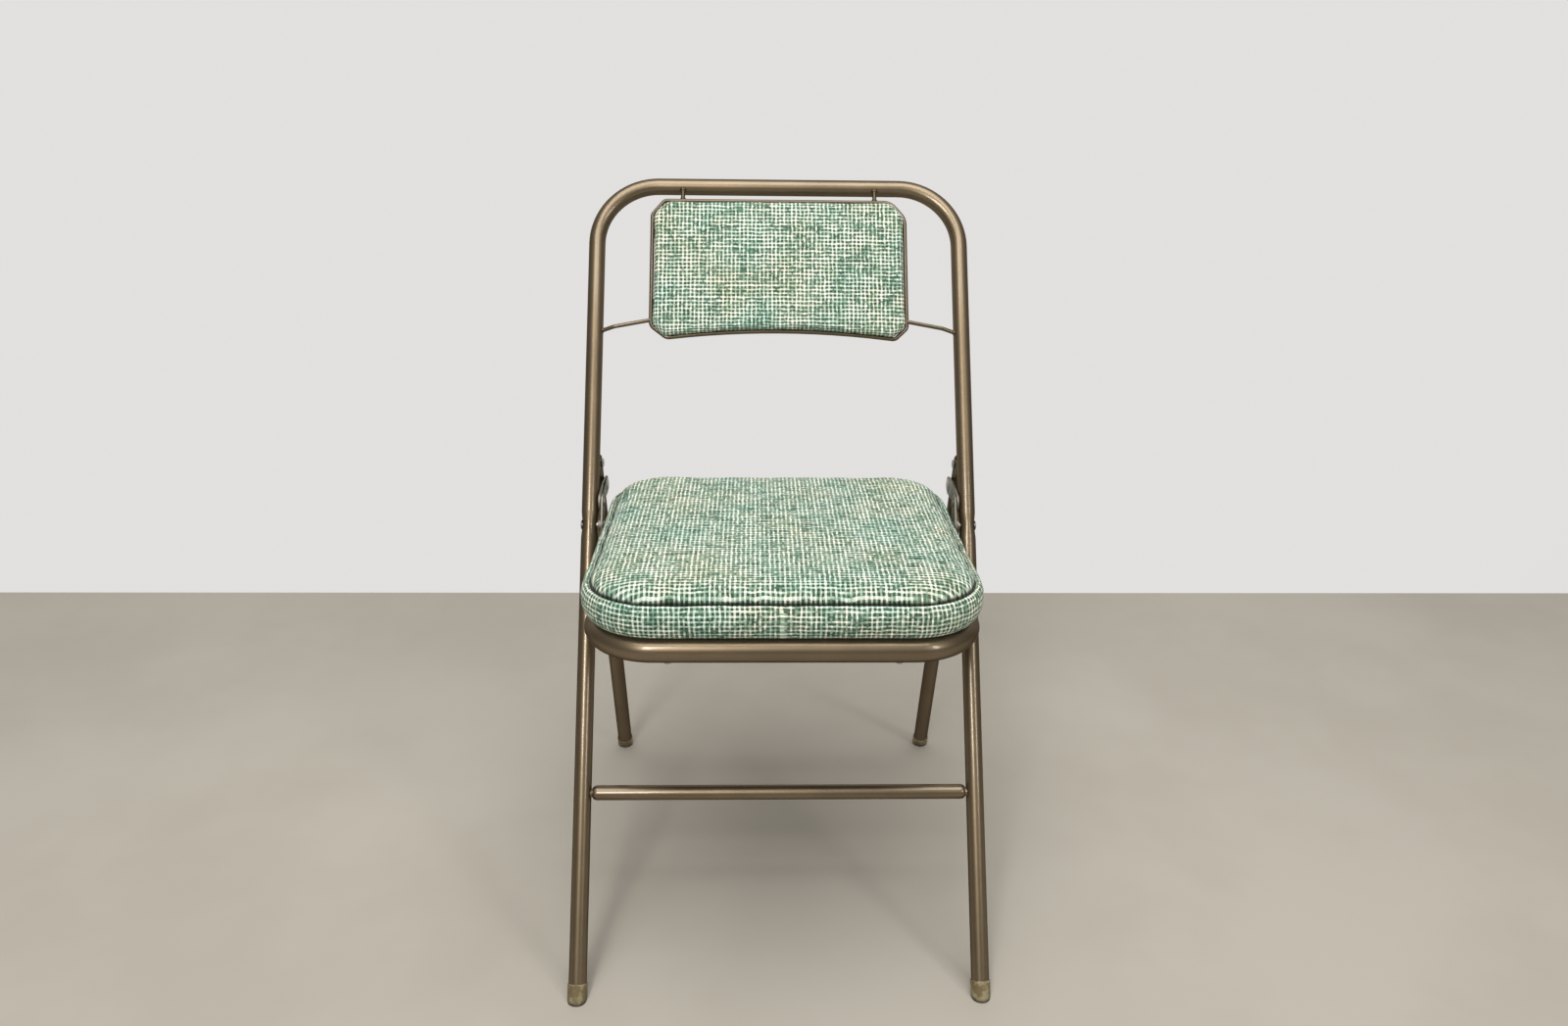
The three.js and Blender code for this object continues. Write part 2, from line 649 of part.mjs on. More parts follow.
// ---------------------------------------------------------------- links
function buildLinks() {
  const { inner, outer, radius } = LINK;
  const hole = RIVET_R + GAP;
  const bow = 3;
  for (const [name, side] of Object.entries(SIDES)) {
    const bar = sided(plate([[0, 0, radius], [linkLength / 2, bow, radius]], inner, outer), side)
      .add(sided(plate([[linkLength / 2, bow, radius], [linkLength, 0, radius]], inner, outer),
        side))
      .subtract(sided(crossBar(inner - 5, outer + 5, [0, 0], hole), side))
      .subtract(sided(crossBar(inner - 5, outer + 5, [linkLength, 0], hole), side));
    addPiece(links, `link_${name}`, bar, 'zinc');
    const rivet = steppedPin([
      [inner - GAP - 1.3, inner - GAP, 7.5],
      [inner - GAP - 1, outer, RIVET_R],
    ], [linkLength, 0], side);
    addPiece(links, `link_rivet_${name}`, rivet, 'zinc');
  }
}

buildFrontFrame();
buildHinges();
buildRearLegs();
buildSeat();
buildLinks();

export default chair;
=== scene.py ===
import json
import math

import bmesh
import bpy
from mathutils import Matrix, Vector


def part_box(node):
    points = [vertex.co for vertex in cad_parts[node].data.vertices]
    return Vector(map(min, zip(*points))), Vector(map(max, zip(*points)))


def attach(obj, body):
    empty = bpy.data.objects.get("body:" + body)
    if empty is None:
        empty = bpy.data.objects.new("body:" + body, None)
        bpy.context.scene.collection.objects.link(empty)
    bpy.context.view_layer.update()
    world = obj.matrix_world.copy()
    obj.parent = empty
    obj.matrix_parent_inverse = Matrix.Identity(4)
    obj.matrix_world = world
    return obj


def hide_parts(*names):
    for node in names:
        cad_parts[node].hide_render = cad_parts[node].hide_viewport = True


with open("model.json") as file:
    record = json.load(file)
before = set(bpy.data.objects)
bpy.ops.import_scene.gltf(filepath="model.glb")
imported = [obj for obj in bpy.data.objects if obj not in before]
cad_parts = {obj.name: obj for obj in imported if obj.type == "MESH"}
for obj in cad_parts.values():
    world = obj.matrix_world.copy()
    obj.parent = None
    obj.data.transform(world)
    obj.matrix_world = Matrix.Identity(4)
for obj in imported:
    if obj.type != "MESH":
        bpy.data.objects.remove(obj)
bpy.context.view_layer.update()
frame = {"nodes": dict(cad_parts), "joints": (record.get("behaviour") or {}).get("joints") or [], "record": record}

# A steel-tube folding chair. Metres; the chair faces -Y and stands on z = 0.
MM = 0.001
scene = bpy.context.scene

# ---------------- places taken from the frame
PIVOT = {joint["name"]: Vector(joint["pos_m"]) for joint in frame["joints"]}
STAND = {mount["name"]: Vector(mount["pos_m"]) for mount in frame["record"]["mounts"]}
FRONT_FOOT = STAND["front_foot_right_base"]
REAR_FOOT = STAND["rear_foot_right_base"]
SIDES = {"left": -1, "right": 1}

LEAN = math.radians(31.4)
SEAT_SLOPE = math.radians(2.3)
LEG_HINGE = PIVOT["rear_leg_fold"]
LEG_TILT = math.atan2(REAR_FOOT.y - LEG_HINGE.y, LEG_HINGE.z)
LEG_LENGTH = math.hypot(REAR_FOOT.y - LEG_HINGE.y, LEG_HINGE.z) / MM

# each part's own frame: X to the right, Z up along the legs or through the cushion
FRAME = Matrix.Translation((0, FRONT_FOOT.y, 0)) @ Matrix.Rotation(-LEAN, 4, "X")
SEAT = (Matrix.Translation((0, FRONT_FOOT.y + 22.7 * MM, 406.4 * MM))
        @ Matrix.Rotation(-SEAT_SLOPE, 4, "X"))
LEGS = Matrix.Translation(LEG_HINGE) @ Matrix.Rotation(LEG_TILT, 4, "X")

LEG_X = FRONT_FOOT.x / MM
TUBE_R, TUBE_WALL = 9.525, 1.6
TUBE_START = 8.5  # a tube begins this far up from its foot, inside the foot cap
GAP = 0.3
MIRROR = Matrix.Diagonal((-1, 1, 1, 1))
ALONG_X = Matrix.Rotation(math.pi / 2, 4, "Y")


def in_part(part, point):
    """A point of the whole chair, in millimetres in a part's own frame."""
    return part.inverted() @ point / MM


def shift(x, y, z):
    """A move, in millimetres."""
    return Matrix.Translation(Vector((x, y, z)) * MM)


SEAT_HINGE_UP = in_part(FRAME, PIVOT["seat_fold"]).z


# ---------------- making meshes
def mesh_of(bm, name):
    """The mesh of a bmesh, with its faces pointing outwards."""
    bmesh.ops.recalc_face_normals(bm, faces=bm.faces[:])
    mesh = bpy.data.meshes.new(name)
    bm.to_mesh(mesh)
    bm.free()
    return mesh


def opened(mesh):
    """A bmesh holding a copy of a mesh."""
    bm = bmesh.new()
    bm.from_mesh(mesh)
    return bm


def sliced(bm, point, normal, **clearing):
    """Cuts a bmesh through along a plane."""
    bmesh.ops.bisect_plane(bm, geom=bm.verts[:] + bm.edges[:] + bm.faces[:], dist=1e-7,
                           plane_co=point, plane_no=normal, **clearing)


def shown(name, data):
    """A new object in the scene, unturned at the origin."""
    made = bpy.data.objects.new(name, data)
    scene.collection.objects.link(made)
    return made


def finished(made):
    """The mesh of an object, with its curve or its modifiers worked out."""
    bpy.context.view_layer.update()
    return bpy.data.meshes.new_from_object(
        made.evaluated_get(bpy.context.evaluated_depsgraph_get()))


def rounded_line(corners, bends, closed):
    """The points of a line with straight runs and round bends, in millimetres."""
    count = len(corners)
    points = []
    for i, corner in enumerate(Vector(c) for c in corners):
        if not closed and i in (0, count - 1):
            points.append(corner)
            continue
        into = (corner - Vector(corners[i - 1])).normalized()
        out = (Vector(corners[(i + 1) % count]) - corner).normalized()
        radius = bends[i] if isinstance(bends, (list, tuple)) else bends
        turn = into.angle(out, 0)
        if radius == 0 or turn < 1e-5:
            points.append(corner)
            continue
        start = corner - into * radius * math.tan(turn / 2)
        side = (out - into * into.dot(out)).normalized()
        steps = max(3, round(math.degrees(turn) / 5))
        points += [start + into * radius * math.sin(turn * k / steps)
                   + side * radius * (1 - math.cos(turn * k / steps)) for k in range(steps + 1)]
    return points


def bent_rod(name, corners, bends, radius, closed=False, sides=40):
    """A round rod or tube bent along a line of corners."""
    points = rounded_line(corners, bends, closed)
    line = bpy.data.curves.new(name, "CURVE")
    line.dimensions = "3D"
    spline = line.splines.new("POLY")
    spline.points.add(len(points) - 1)
    for place, point in zip(spline.points, points):
        place.co = (*(point * MM), 1)
    spline.use_cyclic_u = closed
    line.bevel_depth = radius * MM
    line.bevel_resolution = sides // 4 - 1
    line.use_fill_caps = not closed
    bar = shown(name, line)
    bm = opened(finished(bar))
    bpy.data.objects.remove(bar)
    bmesh.ops.remove_doubles(bm, verts=bm.verts[:], dist=1e-7)
    return mesh_of(bm, name)


def turned(name, profile, steps=48):
    """A round piece turned about its own Z from a profile of (radius, height)."""
    bm = bmesh.new()
    points = [bm.verts.new((radius * MM, 0, height * MM)) for radius, height in profile]
    line = [bm.edges.new(pair) for pair in zip(points, points[1:])]
    bmesh.ops.spin(bm, geom=points + line, cent=(0, 0, 0), axis=(0, 0, 1),
                   angle=2 * math.pi, steps=steps, use_merge=True)
    bmesh.ops.remove_doubles(bm, verts=bm.verts[:], dist=1e-7)
    return mesh_of(bm, name)


def arc(centre, radius, start, end, steps=8):
    """Profile points round part of a circle, angles in degrees from +radius towards +height."""
    return [(centre[0] + radius * math.cos(math.radians(start + (end - start) * k / steps)),
             centre[1] + radius * math.sin(math.radians(start + (end - start) * k / steps)))
            for k in range(steps + 1)]


def softened(node, width):
    """A copy of a CAD piece with its sharp edges eased."""
    bm = opened(frame["nodes"][node].data)
    bmesh.ops.remove_doubles(bm, verts=bm.verts[:], dist=2e-6)
    bmesh.ops.dissolve_limit(bm, angle_limit=math.radians(1.5), verts=bm.verts[:],
                             edges=bm.edges[:])
    sharp = [edge for edge in bm.edges
             if edge.is_manifold and edge.calc_face_angle() > math.radians(38)]
    bmesh.ops.bevel(bm, geom=sharp, offset=width * MM, offset_type="OFFSET", affect="EDGES",
                    segments=3, profile=0.5, material=-1, clamp_overlap=True)
    return mesh_of(bm, node)


def joined(name, *placed):
    """One mesh of several, each with its place."""
    bm = bmesh.new()
    for mesh, place in placed:
        copy = mesh.copy()
        copy.transform(place)
        if place.determinant() < 0:
            copy.flip_normals()
        bm.from_mesh(copy)
    mesh = bpy.data.meshes.new(name)
    bm.to_mesh(mesh)
    bm.free()
    return mesh


def cut(mesh, cutter):
    """What is left of a mesh when another is taken out of it."""
    whole, tool = shown("whole", mesh), shown("tool", cutter)
    taking = whole.modifiers.new("cut", "BOOLEAN")
    taking.operation = "DIFFERENCE"
    taking.solver = "EXACT"
    taking.object = tool
    left = finished(whole)
    bpy.data.objects.remove(whole)
    bpy.data.objects.remove(tool)
    return left


def box_mesh(low, high):
    """A block between two corners, in millimetres."""
    bm = bmesh.new()
    size = Vector(high) - Vector(low)
    centre = (Vector(high) + Vector(low)) / 2
    bmesh.ops.create_cube(bm, size=1, matrix=Matrix.Translation(centre * MM)
                          @ Matrix.Diagonal((*(size * MM), 1)))
    return mesh_of(bm, "block")


def rod_between(start, end, radius, sides):
    """A plain straight bar."""
    return bent_rod("bar", [start, end], 0, radius, sides=sides)


def piece(name, mesh, place, material, body, stands_for, crease=35):
    """Puts a finished mesh into the chair and lets it ride on its body."""
    mesh = mesh.copy()
    mesh.name = name
    mesh.transform(place)
    if place.determinant() < 0:
        mesh.flip_normals()
    mesh.materials.clear()
    mesh.materials.append(material)
    mesh.polygons.foreach_set("use_smooth", [True] * len(mesh.polygons))
    mesh.set_sharp_from_angle(angle=math.radians(crease))
    made = shown(name, mesh)
    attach(made, body)
    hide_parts(*stands_for)


def side_place(place, side):
    """The same place for the right side, mirrored for the left one."""
    return place if side > 0 else MIRROR @ place


# ---------------- finishes
class Net:
    """A short hand for wiring shader nodes."""

    def __init__(self, tree):
        self.tree = tree

    def node(self, kind, settings=(), **inputs):
        made = self.tree.nodes.new("ShaderNode" + kind)
        for key, value in dict(settings).items():
            setattr(made, key, value)
        for key, value in inputs.items():
            self.feed(made.inputs[key.replace("_", " ")], value)
        return made

    def feed(self, socket, value):
        if isinstance(value, bpy.types.NodeSocket):
            self.tree.links.new(value, socket)
        else:
            socket.default_value = value

    def math(self, operation, *values):
        made = self.tree.nodes.new("ShaderNodeMath")
        made.operation = operation
        for socket, value in zip(made.inputs, values):
            self.feed(socket, value)
        return made.outputs[0]

    def point(self, x, y, z=0.0):
        made = self.node("CombineXYZ")
        for socket, value in zip(made.inputs, (x, y, z)):
            self.feed(socket, value)
        return made.outputs[0]

    def mix(self, factor, first, second, blend="MIX"):
        made = self.tree.nodes.new("ShaderNodeMix")
        made.data_type = "RGBA"
        made.blend_type = blend
        for socket, value in ((made.inputs[0], factor), (made.inputs[6], first),
                              (made.inputs[7], second)):
            self.feed(socket, value)
        return made.outputs[2]

    def band(self, value, low, high):
        """0 below low, 1 above high, smooth between."""
        made = self.node("MapRange", {"interpolation_type": "SMOOTHSTEP"})
        for socket, given in zip(made.inputs, (value, low, high, 0.0, 1.0)):
            self.feed(socket, given)
        return made.outputs[0]

    def noise(self, vector, scale, detail=2.0, rough=0.5):
        made = self.node("TexNoise", Scale=scale, Detail=detail, Roughness=rough, Vector=vector)
        return made.outputs["Fac"]

    def ramp(self, value, *stops):
        made = self.node("ValToRGB", Fac=value)
        ramp = made.color_ramp
        while len(ramp.elements) < len(stops):
            ramp.elements.new(0.5)
        for element, (place, colour) in zip(ramp.elements, stops):
            element.position = place
            element.color = (*colour, 1)
        return made.outputs["Color"]


def shader_group(name, inputs, outputs):
    """A node group with named sockets: its net, what it is given and what it puts out."""
    group = bpy.data.node_groups.new(name, "ShaderNodeTree")
    for label, kind, value in inputs:
        socket = group.interface.new_socket(label, in_out="INPUT", socket_type="NodeSocket" + kind)
        if value is not None:
            socket.default_value = value
    for label, kind in outputs:
        group.interface.new_socket(label, in_out="OUTPUT", socket_type="NodeSocket" + kind)
    given = group.nodes.new("NodeGroupInput").outputs
    result = group.nodes.new("NodeGroupOutput").inputs
    return group, Net(group), given, result


def make_weave():
    """Coarse open weave: pale yarns both ways, with green ground yarns in the squares between."""
    group, net, given, result = shader_group(
        "open_weave",
        [("Vector", "Vector", None), ("Pitch", "Float", 0.0047), ("Streaks", "Float", 1.0)],
        [("Colour", "Color"), ("Height", "Float")])
    cells = net.node("VectorMath", {"operation": "SCALE"}, Vector=given["Vector"])
    net.feed(cells.inputs["Scale"], net.math("DIVIDE", 1.0, given["Pitch"]))
    wander = net.node("TexNoise", Scale=0.45, Detail=1.0, Vector=cells.outputs[0])
    shift = net.node("VectorMath", {"operation": "MULTIPLY_ADD"})
    for socket, value in zip(shift.inputs, (wander.outputs["Color"], (0.55, 0.55, 0.0),
                                            cells.outputs[0])):
        net.feed(socket, value)
    split = net.node("SeparateXYZ", Vector=shift.outputs[0])
    across, along = split.outputs[0], split.outputs[1]
    column, row = net.math("FLOOR", across), net.math("FLOOR", along)

    def yarn(place, line, length, sign, seed):
        """Height and colour of the yarns that run one way."""
        off = net.math("ABSOLUTE", net.math("SUBTRACT", net.math("FRACT", place), 0.5))
        spot = net.point(net.math("MULTIPLY", line, 7.31), length, seed)
        slub = net.noise(spot, 0.55, 2.0)
        width = net.math("MULTIPLY_ADD", slub, 0.22, 0.13)
        full = net.math("SUBTRACT", 1.0, net.math("POWER", net.math("DIVIDE", off, width), 2.0))
        full = net.math("SQRT", net.math("MAXIMUM", full, 0.0))
        crossing = net.math("ADD", net.math("SUBTRACT", length, 0.5), line)
        wave = net.math("COSINE", net.math("MULTIPLY", crossing, math.pi))
        height = net.math("MULTIPLY", full, net.math("MULTIPLY_ADD", wave, 0.2 * sign, 0.72))
        far = net.point(net.math("MULTIPLY", line, 0.83), net.math("MULTIPLY", length, 0.11),
                        seed + 3.7)
        shade = net.noise(far, 1.0, 3.0, 0.62)
        blotch = net.noise(spot, 0.38, 2.0)
        shade = net.math("ADD", net.math("MULTIPLY", shade, 0.5), net.math("MULTIPLY", blotch, 0.5))
        colour = net.ramp(shade, (0.36, (0.07, 0.15, 0.105)), (0.43, (0.24, 0.36, 0.27)),
                          (0.48, (0.47, 0.59, 0.46)), (0.53, (0.69, 0.76, 0.63)),
                          (0.62, (0.83, 0.87, 0.755)))
        return height, colour

    warp, warp_colour = yarn(across, column, along, 1.0, 0.0)
    weft, weft_colour = yarn(along, row, across, -1.0, 11.0)
    chance = net.node("TexWhiteNoise", {"noise_dimensions": "2D"}, Vector=net.point(column, row))
    drift = net.noise(cells.outputs[0], 0.035, 2.0)
    pick = net.math("ADD", net.math("MULTIPLY", chance.outputs["Value"], 0.55),
                    net.math("MULTIPLY", drift, 0.45))
    ground = net.ramp(pick, (0.15, (0.022, 0.045, 0.022)), (0.45, (0.055, 0.11, 0.062)),
                      (0.62, (0.085, 0.19, 0.13)), (0.85, (0.17, 0.23, 0.13)))
    top = net.math("MAXIMUM", warp, weft)
    yarns = net.mix(net.math("GREATER_THAN", warp, weft), weft_colour, warp_colour)
    colour = net.mix(net.band(top, 0.15, 0.5), ground, yarns)
    # painted highlight: where the yarns cross the colour is lightened, elsewhere darkened a little
    painted_crossing_highlight = net.math("MULTIPLY_ADD", net.math("MULTIPLY", warp, weft), 1.5, 0.74)
    colour = net.mix(1.0, colour, painted_crossing_highlight, "MULTIPLY")
    tint = net.ramp(net.noise(cells.outputs[0], 0.05, 3.0, 0.6), (0.36, (0.80, 0.93, 0.95)),
                    (0.5, (1.0, 1.0, 1.0)), (0.66, (1.06, 0.98, 0.92)))
    colour = net.mix(given["Streaks"], colour, tint, "MULTIPLY")
    fibre = net.noise(cells.outputs[0], 7.0, 2.0, 0.7)
    lint = net.ramp(fibre, (0.3, (0.55, 0.55, 0.55)), (0.7, (1.25, 1.25, 1.25)))
    colour = net.mix(0.55, colour, lint, "MULTIPLY")
    net.feed(result["Colour"], colour)
    net.feed(result["Height"], net.math("ADD", net.math("MAXIMUM", top, 0.16),
                                        net.math("MULTIPLY", fibre, 0.18)))
    return group


def make_mottle():
    """Two sizes of soft mottling, for paint, plating and dirt."""
    group, net, given, result = shader_group(
        "mottle", [("Vector", "Vector", None), ("Scale", "Float", 60.0), ("Low", "Float", 0.4),
                   ("High", "Float", 0.6)],
        [("Mask", "Float"), ("Grain", "Float")])
    cloud = net.noise(given["Vector"], given["Scale"], 4.0, 0.6)
    net.feed(result["Mask"], net.band(cloud, given["Low"], given["High"]))
    net.feed(result["Grain"], net.noise(given["Vector"], net.math("MULTIPLY", given["Scale"], 28.0),
                                        2.0, 0.6))
    return group


WEAVE = make_weave()
MOTTLE = make_mottle()


def finish_start(name, **sockets):
    """A new material with its shader's constant values set on their own sockets."""
    material = bpy.data.materials.new(name)
    material.use_nodes = True
    net = Net(material.node_tree)
    shader = material.node_tree.nodes["Principled BSDF"]
    for key, value in sockets.items():
        shader.inputs[key.replace("_", " ")].default_value = value
    return material, net, shader


def mottle(net, scale, low, high):
    """The mottle group in a material: the place it reads, its mask and its grain."""
    where = net.node("TexCoord").outputs["Object"]
    made = net.node("Group")
    made.node_tree = MOTTLE
    net.feed(made.inputs["Vector"], where)
    for key, value in (("Scale", scale), ("Low", low), ("High", high)):
        made.inputs[key].default_value = value
    return where, made.outputs["Mask"], made.outputs["Grain"]


def bump(net, shader, height, strength, distance):
    """Raises the surface by a height, its distance in metres."""
    made = net.node("Bump", Height=height, Strength=strength, Distance=distance)
    net.feed(shader.inputs["Normal"], made.outputs["Normal"])


def bronze_enamel(name, depth):
    """Brown bronze paint with a fine flake under a thin coat; a smaller depth paints it darker all over, as
    painted shade.
    """
    material, net, shader = finish_start(
        name, Metallic=0.88, Coat_Roughness=0.09, Specular_Tint=(0.55, 0.45, 0.33, 1))
    where, cloud, grain = mottle(net, 9.0, 0.35, 0.65)
    base = net.mix(cloud, *[(0.172 * share, 0.130 * share, 0.081 * share, 1)
                            for share in (depth, 1.2 * depth)])
    flake = net.ramp(net.noise(where, 2600.0, 1.0), (0.35, (0.82, 0.82, 0.82)),
                     (0.65, (1.16, 1.16, 1.16)))
    base = net.mix(0.5, base, flake, "MULTIPLY")
    nick = net.band(net.noise(where, 85.0, 5.0, 0.65), 0.705, 0.73)
    base = net.mix(nick, base, (0.075, 0.05, 0.028, 1))
    # painted shade: the colour goes dark towards the edges of a tube, where they turn from the view
    edge = net.band(net.node("LayerWeight", Blend=0.5).outputs["Facing"], 0.3, 0.88)
    net.feed(shader.inputs["Base Color"],
             net.mix(edge, base, net.mix(1.0, base, (0.20, 0.17, 0.12, 1), "MULTIPLY")))
    net.feed(shader.inputs["Coat Weight"], net.math("MULTIPLY_ADD", edge, -0.5, 0.55))
    net.feed(shader.inputs["Roughness"], net.math("MULTIPLY_ADD", grain, 0.04, 0.37))
    bump(net, shader, net.noise(where, 900.0, 2.0), 0.02, 0.0001)
    return material


def plated(name, metallic, scale, bright, dull, rough):
    """Zinc plate, mottled between two greys."""
    material, net, shader = finish_start(name, Metallic=metallic)
    _, cloud, grain = mottle(net, scale, 0.35, 0.7)
    net.feed(shader.inputs["Base Color"], net.mix(cloud, bright, dull))
    net.feed(shader.inputs["Roughness"], net.math("MULTIPLY_ADD", grain, 0.25, rough))
    bump(net, shader, grain, 0.08, 0.0002)
    return material


def foot_plastic():
    """Scuffed tan plastic, darker within its lowest five millimetres over the floor."""
    material, net, shader = finish_start("foot_cap_plastic")
    where, cloud, grain = mottle(net, 130.0, 0.42, 0.62)
    base = net.mix(cloud, (0.135, 0.10, 0.042, 1), (0.27, 0.225, 0.125, 1))
    height = net.node("SeparateXYZ", Vector=where).outputs[2]
    low = net.math("SUBTRACT", 1.0, net.band(height, 0.0005, 0.005))
    net.feed(shader.inputs["Base Color"], net.mix(low, base, (0.03, 0.022, 0.015, 1)))
    net.feed(shader.inputs["Roughness"], net.math("MULTIPLY_ADD", grain, 0.3, 0.42))
    bump(net, shader, net.math("ADD", cloud, grain), 0.35, 0.0006)
    return material


def woven_cloth():
    """The open weave, with painted shade darkening it in the seam."""
    material, net, shader = finish_start(
        "green_woven_cloth", Roughness=0.92, Sheen_Weight=0.08, Sheen_Roughness=0.5,
        Specular_IOR_Level=0.25)
    weave = net.node("Group")
    weave.node_tree = WEAVE
    net.feed(weave.inputs["Vector"], net.node("UVMap", {"uv_map": "cloth"}).outputs["UV"])
    # painted shade: the seam attribute darkens the weave's colour in the seam's groove
    seam = net.band(net.node("Attribute", {"attribute_name": "seam"}).outputs["Fac"], 0.1, 0.75)
    shade = net.math("SUBTRACT", 1.0, net.math("MULTIPLY", seam, 0.93))
    net.feed(shader.inputs["Base Color"], net.mix(1.0, weave.outputs["Colour"], shade, "MULTIPLY"))
    bump(net, shader, weave.outputs["Height"], 0.75, 0.0011)
    return material


def pressed_board():
    """Brown board of pressed fibres."""
    material, net, shader = finish_start("pressed_board", Roughness=0.7)
    where, cloud, grain = mottle(net, 30.0, 0.3, 0.7)
    stretched = net.node("Mapping", Vector=where, Scale=(18.0, 300.0, 300.0))
    fibre = net.noise(stretched.outputs[0], 1.5, 4.0, 0.6)
    base = net.mix(fibre, (0.30, 0.19, 0.105, 1), (0.47, 0.33, 0.20, 1))
    stain = net.math("MULTIPLY", cloud, 0.35)
    net.feed(shader.inputs["Base Color"], net.mix(stain, base, (0.24, 0.15, 0.08, 1)))
    bump(net, shader, net.math("ADD", fibre, grain), 0.25, 0.0004)
    return material


def dust_cloth():
    """Thin black cloth with a pale fibre in it."""
    material, net, shader = finish_start(
        "black_dust_cloth", Roughness=0.9, Sheen_Weight=0.2, Specular_IOR_Level=0.2)
    where, cloud, _ = mottle(net, 70.0, 0.35, 0.65)
    fibre = net.noise(where, 1500.0, 3.0, 0.7)
    base = net.mix(cloud, (0.012, 0.012, 0.013, 1), (0.022, 0.022, 0.022, 1))
    net.feed(shader.inputs["Base Color"], net.mix(fibre, base, (0.045, 0.044, 0.042, 1)))
    bump(net, shader, fibre, 0.4, 0.0004)
    return material


BRONZE = bronze_enamel("bronze_enamel", 1.0)
# painted shade: the wires get the same bronze paint made darker, standing in for the shade on them
WIRE_BRONZE_PAINTED_SHADE = bronze_enamel("bronze_wire_enamel_painted_shade", 0.66)
ZINC = plated("zinc_plate", 1.0, 45.0, (0.52, 0.51, 0.48, 1), (0.36, 0.35, 0.33, 1), 0.38)
DULL_ZINC = plated("dulled_zinc_plate", 0.9, 60.0, (0.25, 0.23, 0.195, 1),
                   (0.17, 0.15, 0.12, 1), 0.42)
FOOT = foot_plastic()
CLOTH = woven_cloth()
BOARD = pressed_board()
DUST = dust_cloth()


# ---------------- front frame
FRAME_LENGTH, TOP_BEND = 915.4, 72
# the dimple round the seat's rivet: how far it reaches up and down, and its share of the tube
DIMPLE_REACH, DIMPLE_PRESS = 17, 0.13
# how high the cross bars are: up the front legs, and over the floor between the rear ones
FRONT_BAR_UP, REAR_BAR_HEIGHT = 212.7, 178


def flattened_at(mesh, x, height, reach, press):
    """Presses a tube's two sides in a little round a rivet."""
    bm = opened(mesh)
    slices = 8
    for k in range(-slices, slices + 1):
        sliced(bm, (0, 0, (height + reach * k / slices) * MM), (0, 0, 1))
    for vert in bm.verts:
        away = abs(vert.co.z / MM - height) / reach
        if away < 1:
            share = (0.5 + 0.5 * math.cos(math.pi * away)) * press
            centre = math.copysign(x, vert.co.x) * MM
            vert.co.x = centre + (vert.co.x - centre) * (1 - share)
            vert.co.y *= 1 + 0.45 * share
    return mesh_of(bm, "pressed")


def front_frame():
    tube = bent_rod("front_frame_tube", [
        (-LEG_X, 0, TUBE_START), (-LEG_X, 0, FRAME_LENGTH),
        (LEG_X, 0, FRAME_LENGTH), (LEG_X, 0, TUBE_START)], TOP_BEND, TUBE_R, sides=56)
    tube = flattened_at(tube, LEG_X, SEAT_HINGE_UP, DIMPLE_REACH, DIMPLE_PRESS)
    piece("frame_tube", tube, FRAME, BRONZE, "front_frame", ["front_frame_tube"])


def cross_bar_mesh(radius, nose):
    """A cross bar with round shoulders, drawn down to a nose with a weld at each leg."""
    reach = LEG_X - TUBE_R
    shoulder = reach - 7
    half = [(radius, 0), (radius, shoulder)]
    half += [(nose + (radius - nose) * math.cos(turn), shoulder + 5.6 * math.sin(turn))
             for turn in (math.pi / 16 * k for k in range(1, 9))]
    half += [(nose, reach - 0.6), (nose + 0.6, reach + 0.6), (0, reach + 1.4)]
    bar = turned("half_bar", half, 48)
    bm = opened(joined("cross_bar", (bar, ALONG_X), (bar, MIRROR @ ALONG_X)))
    bmesh.ops.remove_doubles(bm, verts=bm.verts[:], dist=1e-6)
    return mesh_of(bm, "cross_bar")


def cross_bars():
    """The bar low between the front legs, and the thinner one between the rear legs."""
    rear_up = REAR_BAR_HEIGHT / math.cos(LEG_TILT) - LEG_LENGTH
    for end, radius, nose, part, body, up in (
            ("front", 7.95, 4.6, FRAME, "front_frame", FRONT_BAR_UP),
            ("rear", 6.35, 4.2, LEGS, "rear_legs", rear_up)):
        piece(f"{end}_cross_bar", cross_bar_mesh(radius, nose), part @ shift(0, 0, up), BRONZE,
              body, [f"{end}_stretcher"], crease=60)


# the loop of wire round the back pad: half width, top, foot, and the foot's rise in the middle
LOOP_HALF, LOOP_TOP, LOOP_FOOT, LOOP_RISE = 149, 895, 726, 8.7
WIRE_R, PAD_PLANE = 2.4, -6
FOOT_REACH = LOOP_HALF - 15.5
POST_X = 113.5
WELD_BEAD = [(0, -2.2), (2.6, -1.9), (3.6, -0.8), (3.9, 0.6), (3.3, 1.9), (2.6, 2.8), (0, 3.0)]


def foot_height(x):
    """How high the lower edge of the back stands, arched in the middle."""
    return LOOP_FOOT + LOOP_RISE * (1 - (x / FOOT_REACH) ** 2)


def loop_line():
    """The loop's corners, from the upper left one round to the lower left one, and their bends."""
    half = LOOP_HALF
    bent = [(-half, LOOP_TOP - 17.5, 7), (-half + 14, LOOP_TOP, 7), (half - 17, LOOP_TOP, 17),
            (half, LOOP_TOP - 20, 19), (half, LOOP_FOOT + 13.5, 8),
            (half - 14, foot_height(half - 14), 7)]
    for x in ((half - 24) * (1 - k / 6) for k in range(13)):
        bent.append((x, foot_height(x), 0))
    bent += [(-half + 18.5, foot_height(-half + 18.5), 9), (-half, LOOP_FOOT + 15, 10)]
    return [(x, PAD_PLANE, z) for x, z, _ in bent], [bend for _, _, bend in bent]


